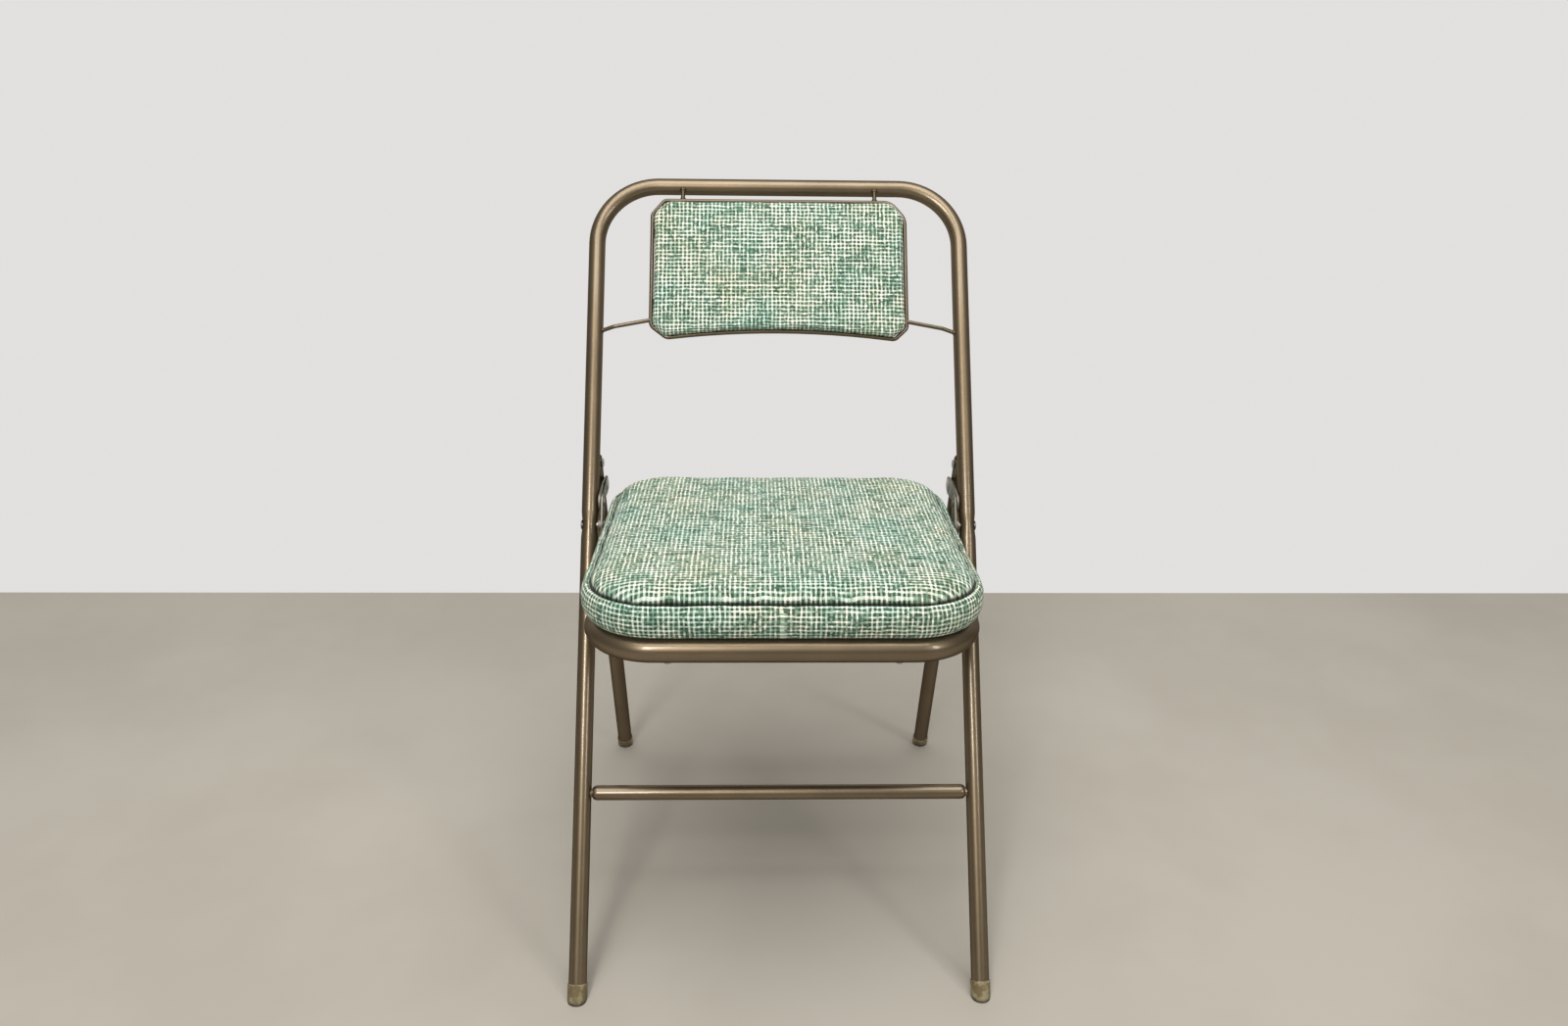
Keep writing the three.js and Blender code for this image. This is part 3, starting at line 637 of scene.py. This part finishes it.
def back_wires():
    loop = bent_rod("loop", *loop_line(), WIRE_R, closed=True, sides=20)
    bead = turned("bead", WELD_BEAD, 20)
    post = bent_rod("post", [(POST_X, PAD_PLANE, LOOP_TOP), (POST_X, PAD_PLANE - 0.8, 903),
                             (POST_X, PAD_PLANE - 1.6, 911)], 3, WIRE_R, sides=20)
    post = joined("post", (post, Matrix()), (bead, shift(POST_X, PAD_PLANE - 0.6, 908.5)),
                  (bead, shift(POST_X, PAD_PLANE, 898) @ Matrix.Diagonal((0.8, 0.8, 0.5, 1))))
    brace = bent_rod("brace", [(LOOP_HALF, PAD_PLANE, 747.6), (191, PAD_PLANE, 739.5),
                               (LEG_X - 8, -1.6, 735.8)], [0, 9, 0], WIRE_R - 0.1, sides=20)
    brace_weld = shift(LEG_X - 9.6, -2.2, 736) @ ALONG_X @ Matrix.Diagonal((0.8, 0.8, 0.7, 1))
    brace = joined("brace", (brace, Matrix()), (bead, brace_weld))
    wires = [("back_loop_wire", loop, FRAME, "back_wire_loop")]
    for name, side in SIDES.items():
        place = side_place(FRAME, side)
        wires += [(f"back_post_wire_{name}", post, place, f"back_post_{name}"),
                  (f"back_brace_wire_{name}", brace, place, f"back_side_wire_{name}")]
    for name, mesh, place, node in wires:
        piece(name, mesh, place, WIRE_BRONZE_PAINTED_SHADE, "front_frame", [node])


# ---------------- rivets, washers and screws
# faces out from the chair's middle: the side plate's inner one, then the washer's two
PLATE_FACE, WASHER_IN, WASHER_OUT = 198.3, 201.1, 204.2
PIN_PROFILE = [(0, 197.0), (4.2, 197.1), (5, 197.6), (5, PLATE_FACE), (3, PLATE_FACE),
               (3, 203.6), (2.6, 204.0), (0, 204.1)]
WASHER_PROFILE = [(3.3, WASHER_IN), (6.2, WASHER_IN), (6.5, WASHER_IN + 0.3),
                  (6.5, WASHER_OUT - 0.3), (6.2, WASHER_OUT), (3.3, WASHER_OUT), (3.3, WASHER_IN)]
STUD_PROFILE = [(0, -1.95), (3.4, -1.9), (5.6, -1.6), (7.0, -1.0), (7.5, -0.4), (7.5, -0.1),
                (3, 0), (3, 1.9), (0, 1.9)]
# screws: how far a head rises, and how long the shanks are
HEAD_RISE, BACK_SHANK, SEAT_SHANK = 2.1, 9, 32
SEAT_SCREW_UP = -11.9


def rivet_mesh(inner, outer, thick, shank=3.0, head=5.5):
    """A rivet along +X from its inner head to its outer head, both domed."""
    dome = [(0, 1), (head * 0.45, 0.94), (head * 0.8, 0.66), (head, 0.2), (head, 0)]
    inner_head = [(radius, inner - thick * rise) for radius, rise in dome]
    outer_head = [(radius, outer + thick * rise) for radius, rise in reversed(dome)]
    return turned("rivet", inner_head + [(shank, inner), (shank, outer)] + outer_head, 32)


def screw_mesh(length):
    """A pan-head screw with a cross recess: head at the top of its own Z, shank below."""
    profile = [(0, HEAD_RISE), (2.0, 2.05), (3.4, 1.7), (4.2, 1.0), (4.5, 0.3), (4.5, 0), (2.0, 0),
               (2.0, -length + 1.5), (0, -length)]
    head = turned("screw", profile, 32)
    long, wide, floor = 2.1, 0.45, 0.9
    head = cut(head, box_mesh((-long, -wide, floor), (long, wide, 4)))
    return cut(head, box_mesh((-wide, -long, floor), (wide, long, 4)))


def middle_of(node):
    """The middle of a CAD piece's box, in metres."""
    low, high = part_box(node)
    return (low + high) / 2


def hinges():
    """Everything beside the seat: rivets, washers, pins, plates, links, and the pad's lugs."""
    outer = LEG_X + TUBE_R + GAP
    leg_at = in_part(FRAME, LEG_HINGE)
    seat_at = Vector((0, 0, SEAT_HINGE_UP))
    link_at = in_part(SEAT, PIVOT["link_right_swing"])
    leg_rivet = rivet_mesh(LEG_X - TUBE_R - GAP, outer, 1.7)
    seat_rivet = rivet_mesh(PLATE_FACE, outer - 1.0, 1.3)
    washer = turned("washer", WASHER_PROFILE, 32)
    pin = turned("pin", PIN_PROFILE, 32)
    stud = turned("stud", STUD_PROFILE, 40)
    for name, side in SIDES.items():
        for label, node, mesh, part, at, body, finish in (
                ("leg_hinge_rivet", "leg_rivet", leg_rivet, FRAME, leg_at, "front_frame", ZINC),
                ("seat_hinge_rivet", "seat_rivet", seat_rivet, FRAME, seat_at, "front_frame", ZINC),
                ("seat_hinge_washer", "seat_washer", washer, FRAME, seat_at, "front_frame",
                 DULL_ZINC),
                ("link_pivot_pin", "link_pin", pin, SEAT, link_at, "seat", DULL_ZINC)):
            place = side_place(part @ shift(0, at.y, at.z) @ ALONG_X, side)
            piece(f"{label}_{name}", mesh, place, finish, body, [f"{node}_{name}"])
        for label, node, body, finish, slot, width in (
                ("leg_hinge_lug", "leg_hinge_tab", "front_frame", BRONZE, "bronze_paint", 0.5),
                ("seat_side_plate", "seat_bracket", "seat", DULL_ZINC, "zinc", 0.45),
                ("plate_packing", "bracket_pad", "seat", BRONZE, "bronze_paint", 0.5),
                ("folding_link", "link", f"link_{name}", DULL_ZINC, "zinc", 0.5),
                ("pad_lug_lower", "pad_tab_lower", "front_frame", BRONZE, "bronze_paint", 0.35),
                ("pad_lug_upper", "pad_tab_upper", "front_frame", BRONZE, "bronze_paint", 0.35)):
            piece(f"{label}_{name}", softened(f"{node}_{name}", width), Matrix(), finish, body,
                  [f"{node}_{name}"])
        middle = middle_of(f"link_rivet_{name}")
        place = Matrix.Translation((abs(middle.x), middle.y, middle.z)) @ ALONG_X
        piece(f"link_leg_stud_{name}", stud, side_place(place, side), ZINC, f"link_{name}",
              [f"link_rivet_{name}"])


def screws():
    back_screw, seat_screw = screw_mesh(BACK_SHANK), screw_mesh(SEAT_SHANK)
    backwards = Matrix.Rotation(-math.pi / 2, 4, "X")
    downwards = Matrix.Rotation(math.pi, 4, "X")
    for label in [f"{level}_{side}" for level in ("lower", "upper") for side in SIDES]:
        at = in_part(FRAME, middle_of(f"pad_screw_{label}"))
        place = FRAME @ shift(at.x, PAD_PLANE + WIRE_R + HEAD_RISE, at.z) @ backwards
        piece(f"back_screw_{label}", back_screw, place, ZINC, "front_frame",
              [f"pad_screw_{label}"])
    for number in range(1, 5):
        at = in_part(SEAT, middle_of(f"board_screw_{number}"))
        place = SEAT @ shift(at.x, at.y, SEAT_SCREW_UP) @ downwards
        piece(f"seat_screw_{number}", seat_screw, place, ZINC, "seat",
              [f"board_screw_{number}"])


# ---------------- rear legs and feet
# the top of a rear leg: its height over the hinge, how deep it is open, and the lug's slot
LEG_TOP, LEG_BORE, SLOT_HALF, SLOT_FOOT = 7.4, -60, 1.8, -24


def rear_legs():
    leg = rod_between((LEG_X, 0, LEG_TOP), (LEG_X, 0, TUBE_START - LEG_LENGTH), TUBE_R, 56)
    leg = cut(leg, rod_between((LEG_X, 0, LEG_BORE), (LEG_X, 0, LEG_TOP + 5),
                               TUBE_R - TUBE_WALL, 40))
    leg = cut(leg, box_mesh((LEG_X - SLOT_HALF, -20, SLOT_FOOT),
                            (LEG_X + SLOT_HALF, 20, LEG_TOP + 10)))
    for name, side in SIDES.items():
        piece(f"rear_leg_tube_{name}", leg, side_place(LEGS, side), BRONZE, "rear_legs",
              [f"rear_leg_{name}"])


def feet():
    """Cups over the ends of the legs, with a rolled lip, worn flat on the floor."""
    for end, foot, tilt, top, body in (("front", FRONT_FOOT, -LEAN, 17, "front_frame"),
                                       ("rear", REAR_FOOT, LEG_TILT, 15, "rear_legs")):
        profile = [(0, -6.2), (5.2, -6.2)] + arc((5.6, -1.8), 4.4, -90, 0, 8)
        profile += [(10.35, 2.2), (10.5, 4), (10.5, top - 2.2), (10.6, top - 1.6),
                    (10.6, top - 0.7), (10.35, top - 0.2), (9.9, top), (9.4, top), (9.4, top - 4)]
        cup = turned("cup", profile, 48)
        cup.transform(Matrix.Rotation(tilt, 4, "X"))
        bm = opened(cup)
        sliced(bm, (0, 0, 0), (0, 0, -1), clear_outer=True)
        rim = [edge for edge in bm.edges
               if edge.is_boundary and all(abs(vert.co.z) < 1e-6 for vert in edge.verts)]
        bmesh.ops.contextual_create(bm, geom=rim)
        cup = mesh_of(bm, "cup")
        for name, side in SIDES.items():
            place = side_place(Matrix.Translation((LEG_X * MM, foot.y, 0)), side)
            piece(f"{end}_foot_cap_{name}", cup, place, FOOT, body,
                  [f"{end}_foot_{name}"])


# ---------------- seat frame and boards
RAIL_R, RAIL_HALF, RAIL_DEPTH = 12.7, 183.3, 348.9
RAIL_FRONT_BEND, RAIL_REAR_BEND = 60, 52


def seat_frame():
    """The ring of tube under the cushion, with the boards and the dust cover."""
    rail = bent_rod("rail", [
        (0, RAIL_DEPTH, 0), (RAIL_HALF, RAIL_DEPTH, 0), (RAIL_HALF, 0, 0), (-RAIL_HALF, 0, 0),
        (-RAIL_HALF, RAIL_DEPTH, 0)],
        [0, RAIL_REAR_BEND, RAIL_FRONT_BEND, RAIL_FRONT_BEND, RAIL_REAR_BEND],
        RAIL_R, closed=True, sides=56)
    piece("seat_ring_rail", rail, SEAT, BRONZE, "seat", ["seat_rail"])
    for name, node, finish, slot, body, width in (
            ("seat_base_board", "seat_board", BOARD, "board", "seat", 0.8),
            ("seat_dust_sheet", "seat_dust_cover", DUST, "dust_cloth", "seat", 0.3),
            ("back_base_board", "back_board", BOARD, "board", "front_frame", 0.8)):
        piece(name, softened(node, width), Matrix(), finish, body, [node])


# ---------------- padding
LEVELS = 100  # a block is this deep before its levels are drawn to a section
ON_RIM = 0.01  # nearer the outline, or a block's last level, than this is on it


def cells_block(low, high, places):
    """A box cut into cells by planes at the listed places along X, Y and Z, in millimetres."""
    bm = opened(box_mesh(low, high))
    for axis, stops in enumerate(places):
        normal = Vector([float(axis == k) for k in range(3)])
        for stop in stops:
            sliced(bm, normal * stop * MM, normal)
    return bm


def level_stops(section):
    """The block's levels at the inner points of a section."""
    steps = len(section) - 1
    return [LEVELS * k / steps for k in range(1, steps)]


def stops_between(low, high, edge, pitch):
    """Cut places from both ends by the edge list, then evenly at about the pitch."""
    start, end = low + edge[-1], high - edge[-1]
    count = round((end - start) / pitch)
    inner = [start + (end - start) * k / count for k in range(1, count)]
    return [low + d for d in edge] + inner + [high - d for d in reversed(edge)]


def section_at(section, share):
    """The point of a section line at a share of its number of steps."""
    place = min(max(share, 0.0), 1.0) * (len(section) - 1)
    step = min(int(place), len(section) - 2)
    return Vector(section[step]).lerp(Vector(section[step + 1]), place - step)


def curve_at(points, value):
    """A height read off straight runs between (place, height) points, level past their ends."""
    for (x0, y0), (x1, y1) in zip(points, points[1:]):
        if value <= x1:
            share = max(0.0, (value - x0) / (x1 - x0))
            return y0 + (y1 - y0) * share
    return points[-1][1]


CLOTH_SETTINGS = {
    "quality": 6, "mass": 0.25, "tension_stiffness": 18, "compression_stiffness": 18,
    "shear_stiffness": 8, "bending_stiffness": 0.6, "air_damping": 2, "use_pressure": True,
    "shrink_min": -0.006, "vertex_group_mass": "held"}


def swell(padding, pins, pressure, cap, frames=20):
    """Fills the cloth: it swells under pressure, its pinned points held, by the cap at most."""
    held = padding.vertex_groups.new(name="held")
    held.add(pins, 1.0, "REPLACE")
    before = [vert.co.copy() for vert in padding.data.vertices]
    cloth = padding.modifiers.new("cloth", "CLOTH")
    for key, value in CLOTH_SETTINGS.items():
        setattr(cloth.settings, key, value)
    cloth.settings.uniform_pressure_force = pressure
    cloth.settings.effector_weights.gravity = 0
    cloth.collision_settings.use_collision = False
    cloth.point_cache.frame_start = 1
    cloth.point_cache.frame_end = frames
    for number in range(1, frames + 1):
        scene.frame_set(number)
    moved = padding.evaluated_get(bpy.context.evaluated_depsgraph_get()).data
    after = [vert.co.copy() for vert in moved.vertices]
    padding.modifiers.remove(cloth)
    scene.frame_set(1)
    for vert, start, end in zip(padding.data.vertices, before, after):
        step = end - start
        if step.length > cap * MM:
            step *= cap * MM / step.length
        vert.co = start + step
    padding.vertex_groups.remove(held)


def padding_piece(name, bm, place, body, node, pinned, pressure, cap):
    """A padded piece from its cells, swollen and covered with the cloth."""
    bm.verts.index_update()
    pins = [vert.index for vert in bm.verts if pinned(vert)]
    mesh = bpy.data.meshes.new(name)
    bm.to_mesh(mesh)
    bm.free()
    made = shown(name, mesh)
    swell(made, pins, pressure, cap)
    mesh.transform(place)
    mesh.materials.append(CLOTH)
    mesh.polygons.foreach_set("use_smooth", [True] * len(mesh.polygons))
    finer = made.modifiers.new("finer", "SUBSURF")
    finer.levels = finer.render_levels = 1
    finer.uv_smooth = "PRESERVE_BOUNDARIES"
    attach(made, body)
    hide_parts(node)


# the seat cushion: its half width, front and rear, its corner bends, and how its cells are cut
CUSHION_HALF, CUSHION_FRONT, CUSHION_REAR = 196, -14.5, 363
CUSHION_BEND = {"front": 72.7, "rear": 64.7}
CUSHION_SHAPE = (CUSHION_HALF, CUSHION_FRONT, CUSHION_REAR, CUSHION_BEND)
CUSHION_EDGE, CUSHION_PITCH = [0.75, 2.1, 4, 6.6, 9.5, 12.4, 16, 21], 5.2
SEAM_INSET = 8
# levels: the boxing is held below the first and puckers along the seam above the second
HELD_LEVEL, PUCKER_LEVEL = 25, 85
# underneath: the hem at the edge, its width and height, then the height over the board
HEM_WIDTH, HEM_HEIGHT, OVER_BOARD = 11.9, 13.3, 22.7
BOXING_UV = 400  # keeps the boxing's weave clear of the top's
# the boxing's section from the bottom edge to the sewn seam, as (inset, height)
BOXING = [(12.0, 13.5), (8.6, 13.9), (5.2, 15.8), (2.5, 18.9), (0.6, 23.0), (-0.6, 27.8),
          (-1.1, 32.8), (-0.8, 37.8), (0.3, 42.4), (2.0, 46.3), (4.0, 48.4), (5.9, 48.9),
          (7.2, 47.7), (SEAM_INSET, 43.2)]
# the top's section: distance in from the seam, height
CROWN = [(0, 43.2), (0.6, 48.7), (1.6, 52.0), (3.2, 54.7), (5.4, 56.9), (8, 58.6), (12, 60.2),
         (18, 61.5), (28, 62.8), (45, 64.0), (75, 65.2), (120, 66.3), (170, 67.1)]


def by_corner(x, y, half, front, rear, bends):
    """The plan's middle, half depth and nearest bend, and how far past its start x and y are."""
    middle, reach = (front + rear) / 2, (rear - front) / 2
    bend = bends["front"] if y < middle else bends["rear"]
    return middle, reach, bend, abs(x) - (half - bend), abs(y - middle) - (reach - bend)


def rounded_plan(x, y, half, front, rear, bends):
    """Moves a point of a square-cornered plan into the round-cornered one.

    Gives the point, its distance in from the outline and its outward direction.
    """
    middle, reach, bend, u, v = by_corner(x, y, half, front, rear, bends)
    sx, sy = math.copysign(1, x), math.copysign(1, y - middle)
    if u > 0 and v > 0:
        far, long = max(u, v), math.hypot(u, v)
        u, v = u * far / long, v * far / long
        inside = bend - far
        out = Vector((sx * u, sy * v)).normalized() if far > 0 else Vector((sx, 0))
    else:
        inside = bend - max(u, v)
        out = Vector((sx, 0)) if u > v else Vector((0, sy))
    return (sx * (half - bend + u), middle + sy * (reach - bend + v)), inside, out


def round_distance(x, y, half, front, rear, bends):
    """How far round the outline a point is from the front middle, always positive."""
    middle, _, bend, u, v = by_corner(x, y, half, front, rear, bends)
    if y < middle and u <= 0:
        return abs(x)
    first = half - bends["front"]
    if y < middle and v > 0:
        return first + bend * math.atan2(u, v)
    quarter = math.pi / 2 * bends["front"]
    if v <= 0:
        return first + quarter + (y - front - bends["front"])
    side = rear - front - bends["front"] - bends["rear"]
    if u > 0:
        return first + quarter + side + bend * math.atan2(v, u)
    return first + quarter + side + math.pi / 2 * bends["rear"] + (half - bend) - abs(x)


def pucker(x, y, inside):
    """How far the cloth is pulled in and out along the seam."""
    wave = math.sin(x * 0.118 + 0.7) + 0.7 * math.sin(y * 0.134 + x * 0.05)
    return 0.35 * wave * max(0.0, 1 - inside / 25)


def crown_height(x, y, inside, drawn):
    """The top's height, with the slight hollows that the seam pulls beside it."""
    height = curve_at(CROWN, max(0.0, inside + drawn - SEAM_INSET))
    pull = math.sin(x * 0.21 + y * 0.17) + math.sin(x * 0.093 - 1)
    return height + 0.3 * pull * math.exp(-((inside - 5) / 6) ** 2)


def cushion_section(x, y, inside, level):
    """How far in a point of the cushion is drawn from its plan, and its height."""
    on_rim, on_top = inside < ON_RIM, level >= LEVELS - ON_RIM
    if ON_RIM < level < LEVELS - ON_RIM or (on_rim and on_top):
        drawn, height = section_at(BOXING, level / LEVELS)
    elif on_top:
        drawn = SEAM_INSET * (1 - min(inside / 60, 1)) ** 1.5
        height = crown_height(x, y, inside, drawn)
    else:
        drawn = BOXING[0][0] * (1 - min(inside / 30, 1)) ** 1.4
        height = OVER_BOARD if inside >= HEM_WIDTH else HEM_HEIGHT + (1.0 if on_rim else 0.0)
    if level > PUCKER_LEVEL:
        drawn += pucker(x, y, inside)
    return drawn, height


def seam_shade(inside):
    """How deep in the seam's shade a point of the top is."""
    for limit, shade in ((ON_RIM, 1.0), (1, 0.75), (3, 0.1)):
        if inside < limit:
            return shade
    return 0.0


def lay_boxing(bm, cloth, sides, flat, heights):
    """Lays the cloth round the boxing from the front's middle, and straight on the rest."""
    steps = len(BOXING) - 1
    girth = [0.0]
    for low, high in zip(BOXING, BOXING[1:]):
        girth.append(girth[-1] + math.dist(low, high))
    for face in bm.faces:
        turn = 1 if face.calc_center_median().x > 0 else -1
        for loop in face.loops:
            vert = loop.vert
            if face in sides:
                place = heights[vert] / LEVELS * steps
                step = min(int(place + 1e-6), steps - 1)
                up = girth[step] + (girth[step + 1] - girth[step]) * (place - step)
                loop[cloth].uv = (round_distance(*flat[vert], *CUSHION_SHAPE) * turn * MM,
                                  (up + BOXING_UV) * MM)
            else:
                loop[cloth].uv = (vert.co.x, vert.co.y)


def seat_cushion():
    xs = stops_between(-CUSHION_HALF, CUSHION_HALF, CUSHION_EDGE, CUSHION_PITCH)
    ys = stops_between(CUSHION_FRONT, CUSHION_REAR, CUSHION_EDGE, CUSHION_PITCH)
    zs = level_stops(BOXING)
    bm = cells_block((-CUSHION_HALF, CUSHION_FRONT, 0), (CUSHION_HALF, CUSHION_REAR, LEVELS),
                     (xs, ys, zs))
    cloth = bm.loops.layers.uv.new("cloth")
    # the seam layer holds painted shade for the seam's groove, which the cloth's finish reads
    seam = bm.verts.layers.float.new("seam")
    sides = {face for face in bm.faces if abs(face.normal.z) < 0.5}
    flat, heights = {}, {}
    for vert in bm.verts:
        level = heights[vert] = vert.co.z / MM
        (x, y), inside, out = rounded_plan(vert.co.x / MM, vert.co.y / MM, *CUSHION_SHAPE)
        flat[vert] = x, y
        if level > LEVELS - ON_RIM:
            vert[seam] = seam_shade(inside)
        drawn, height = cushion_section(x, y, inside, level)
        vert.co = Vector((x - out.x * drawn, y - out.y * drawn, height)) * MM
    lay_boxing(bm, cloth, sides, flat, heights)
    sewn = {vert for face in sides for vert in face.verts if heights[vert] > LEVELS - ON_RIM}
    padding_piece("seat_padding", bm, SEAT, "seat", "seat_cushion",
                  lambda vert: heights[vert] < HELD_LEVEL or vert in sewn, 1.0, 1.3)


# the back pad: like the loop round it, with cut corners and an arched foot
PAD_CUT = {"foot": 14.5, "head": 16.5}
BACK_EDGE, BACK_PITCH = [1.6, 4, 7, 10.5, 14.5], 4.8
BACK_HELD_LEVEL = 30
# behind: the hem's width, then the depth over the board
BACK_HEM, OVER_BACK_BOARD = 9, -9.4
# the cloth turned in round the edge, in mm, and its weave's shift up, in metres
TURNED_IN, WEAVE_SHIFT = 20, 0.9
# the pad's edge section from the board's edge round to the face, as (inset, depth)
PAD_EDGE = [(7.4, -3.8), (2.8, -3.9), (0.6, -5.2), (0.0, -7.8), (-0.7, -10.4), (-0.5, -13.0),
            (1.2, -15.6), (4.5, -17.3)]
# the face's section: distance in from its edge, depth
PAD_FACE = [(0, -17.3), (5, -18.4), (12, -19.3), (25, -20.1), (45, -20.6), (75, -21.0)]


def cut_plan(x, z, half, middle, reach):
    """Moves a point of a square-cornered plan into the one with cut corners."""
    bevel = PAD_CUT["foot"] if z < middle else PAD_CUT["head"]
    u, v = abs(x) - (half - bevel), abs(z - middle) - (reach - bevel)
    sx, sz = math.copysign(1, x), math.copysign(1, z - middle)
    if u > 0 and v > 0:
        far = max(u, v)
        share = far / ((u + v) * 0.82 + far * 0.18)
        out = Vector((sx * (0.6 + u), sz * (0.6 + v))).normalized()
        u, v = u * share, v * share
        inside = bevel - far
    else:
        inside = bevel - max(u, v)
        out = Vector((sx, 0)) if u > v else Vector((0, sz))
    return (sx * (half - bevel + u), middle + sz * (reach - bevel + v)), inside, out


def pad_section(inside, level):
    """How far in a point of the back pad is drawn from its plan, and its depth."""
    on_rim, on_face = inside < ON_RIM, level >= LEVELS - ON_RIM
    face_inset, back_inset = PAD_EDGE[-1][0], PAD_EDGE[0][0]
    if ON_RIM < level < LEVELS - ON_RIM or (on_rim and on_face):
        return section_at(PAD_EDGE, level / LEVELS)
    if on_face:
        drawn = face_inset * (1 - min(inside / 30, 1)) ** 1.4
        return drawn, curve_at(PAD_FACE, max(0.0, inside + drawn - face_inset))
    drawn = back_inset if on_rim else max(0.0, back_inset - inside) * 0.9
    return drawn, PAD_EDGE[0][1] if inside < BACK_HEM else OVER_BACK_BOARD


def back_cushion():
    half = LOOP_HALF - WIRE_R - GAP
    foot, head = LOOP_FOOT + WIRE_R + GAP, LOOP_TOP - WIRE_R - GAP
    middle, reach = (foot + head) / 2, (head - foot) / 2
    xs = stops_between(-half, half, BACK_EDGE, BACK_PITCH)
    zs = stops_between(foot, head, BACK_EDGE, BACK_PITCH)
    bm = cells_block((-half, 0, foot), (half, LEVELS, head), (xs, level_stops(PAD_EDGE), zs))
    cloth = bm.loops.layers.uv.new("cloth")
    depths, outward = {}, {}
    for vert in bm.verts:
        level = depths[vert] = vert.co.y / MM
        (x, z), inside, out = cut_plan(vert.co.x / MM, vert.co.z / MM, half, middle, reach)
        outward[vert] = out
        drawn, depth = pad_section(inside, level)
        x -= out.x * drawn
        z -= out.y * drawn
        lift = LOOP_RISE * (1 - min(1, (x / FOOT_REACH) ** 2)) * (head - z) / (head - foot)
        sag = 1.5 * min(1, level / 45)
        vert.co = Vector((x, depth, z + lift - sag)) * MM
    for face in bm.faces:
        for loop in face.loops:
            place, out = loop.vert.co, outward[loop.vert]
            round_edge = (LEVELS - depths[loop.vert]) / LEVELS * TURNED_IN * MM
            loop[cloth].uv = (place.x + out.x * round_edge,
                              place.z - middle * MM + out.y * round_edge + WEAVE_SHIFT)
    padding_piece("back_padding", bm, FRAME, "front_frame", "back_pad",
                  lambda vert: depths[vert] < BACK_HELD_LEVEL, 1.2, 1.2)


# ---------------- the whole chair
front_frame()
cross_bars()
back_wires()
hinges()
screws()
rear_legs()
feet()
seat_frame()
seat_cushion()
back_cushion()


# ---------------- floor, light and camera
FLOOR_HALF, FLOOR_END = 6, 0.74


def stage():
    """A plain floor that ends behind the chair."""
    bm = bmesh.new()
    bmesh.ops.create_grid(bm, x_segments=1, y_segments=1, size=FLOOR_HALF,
                          matrix=Matrix.Translation((0, FLOOR_END - FLOOR_HALF, 0)))
    floor = shown("floor", mesh_of(bm, "floor"))
    material, net, shader = finish_start("pale_floor", Roughness=0.75, Specular_IOR_Level=0.3)
    _, cloud, _ = mottle(net, 2.2, 0.35, 0.65)
    net.feed(shader.inputs["Base Color"],
             net.mix(cloud, (0.38, 0.35, 0.30, 1), (0.41, 0.38, 0.33, 1)))
    floor.data.materials.append(material)


def soft_light(name, place, target, size, power, colour):
    """An oblong lamp that points from its place at a target."""
    lamp = bpy.data.lights.new(name, "AREA")
    lamp.shape = "RECTANGLE"
    lamp.size, lamp.size_y = size
    lamp.energy = power
    lamp.color = colour
    made = shown(name, lamp)
    made.location = place
    made.rotation_euler = (Vector(target) - Vector(place)).to_track_quat("-Z", "Y").to_euler()


def lights():
    chest = (0, 0, 0.45)
    soft_light("overhead", (0, -0.6, 3.2), chest, (2.8, 2.2), 84, (1, 0.99, 0.97))
    soft_light("front_left", (-0.9, -3.0, 2.5), chest, (0.7, 1.3), 60, (1, 0.985, 0.96))
    soft_light("front_right", (2.2, -2.4, 2.0), chest, (0.45, 1.4), 24, (1, 0.985, 0.96))
    world = bpy.data.worlds.new("room")
    scene.world = world
    world.use_nodes = True
    net = Net(world.node_tree)
    facing = net.node("SeparateXYZ", Vector=net.node("TexCoord").outputs["Generated"])
    back, up = (net.band(facing.outputs[1], 0.3, 0.76), net.band(facing.outputs[2], 0.1, 0.9))
    glow = net.math("ADD", net.math("MULTIPLY", back, 0.61), net.math("MULTIPLY", up, 0.12))
    room = world.node_tree.nodes["Background"]
    room.inputs["Color"].default_value = (1.0, 0.985, 0.965, 1)
    net.feed(room.inputs["Strength"], net.math("ADD", glow, 0.15))


def camera():
    lens = bpy.data.cameras.new("camera")
    lens.sensor_width = 36
    lens.lens = 26.01
    lens.clip_end = 60
    made = shown("camera", lens)
    made.matrix_world = (Matrix.Translation((-0.0285, FRONT_FOOT.y - 0.9235, 0.9249))
                         @ Matrix.Rotation(math.radians(-1.628), 4, "Z")
                         @ Matrix.Rotation(math.radians(90 - 21.855), 4, "X")
                         @ Matrix.Rotation(math.radians(0.743), 4, "Z"))
    scene.camera = made


stage()
lights()
camera()
scene.view_settings.view_transform = "Standard"
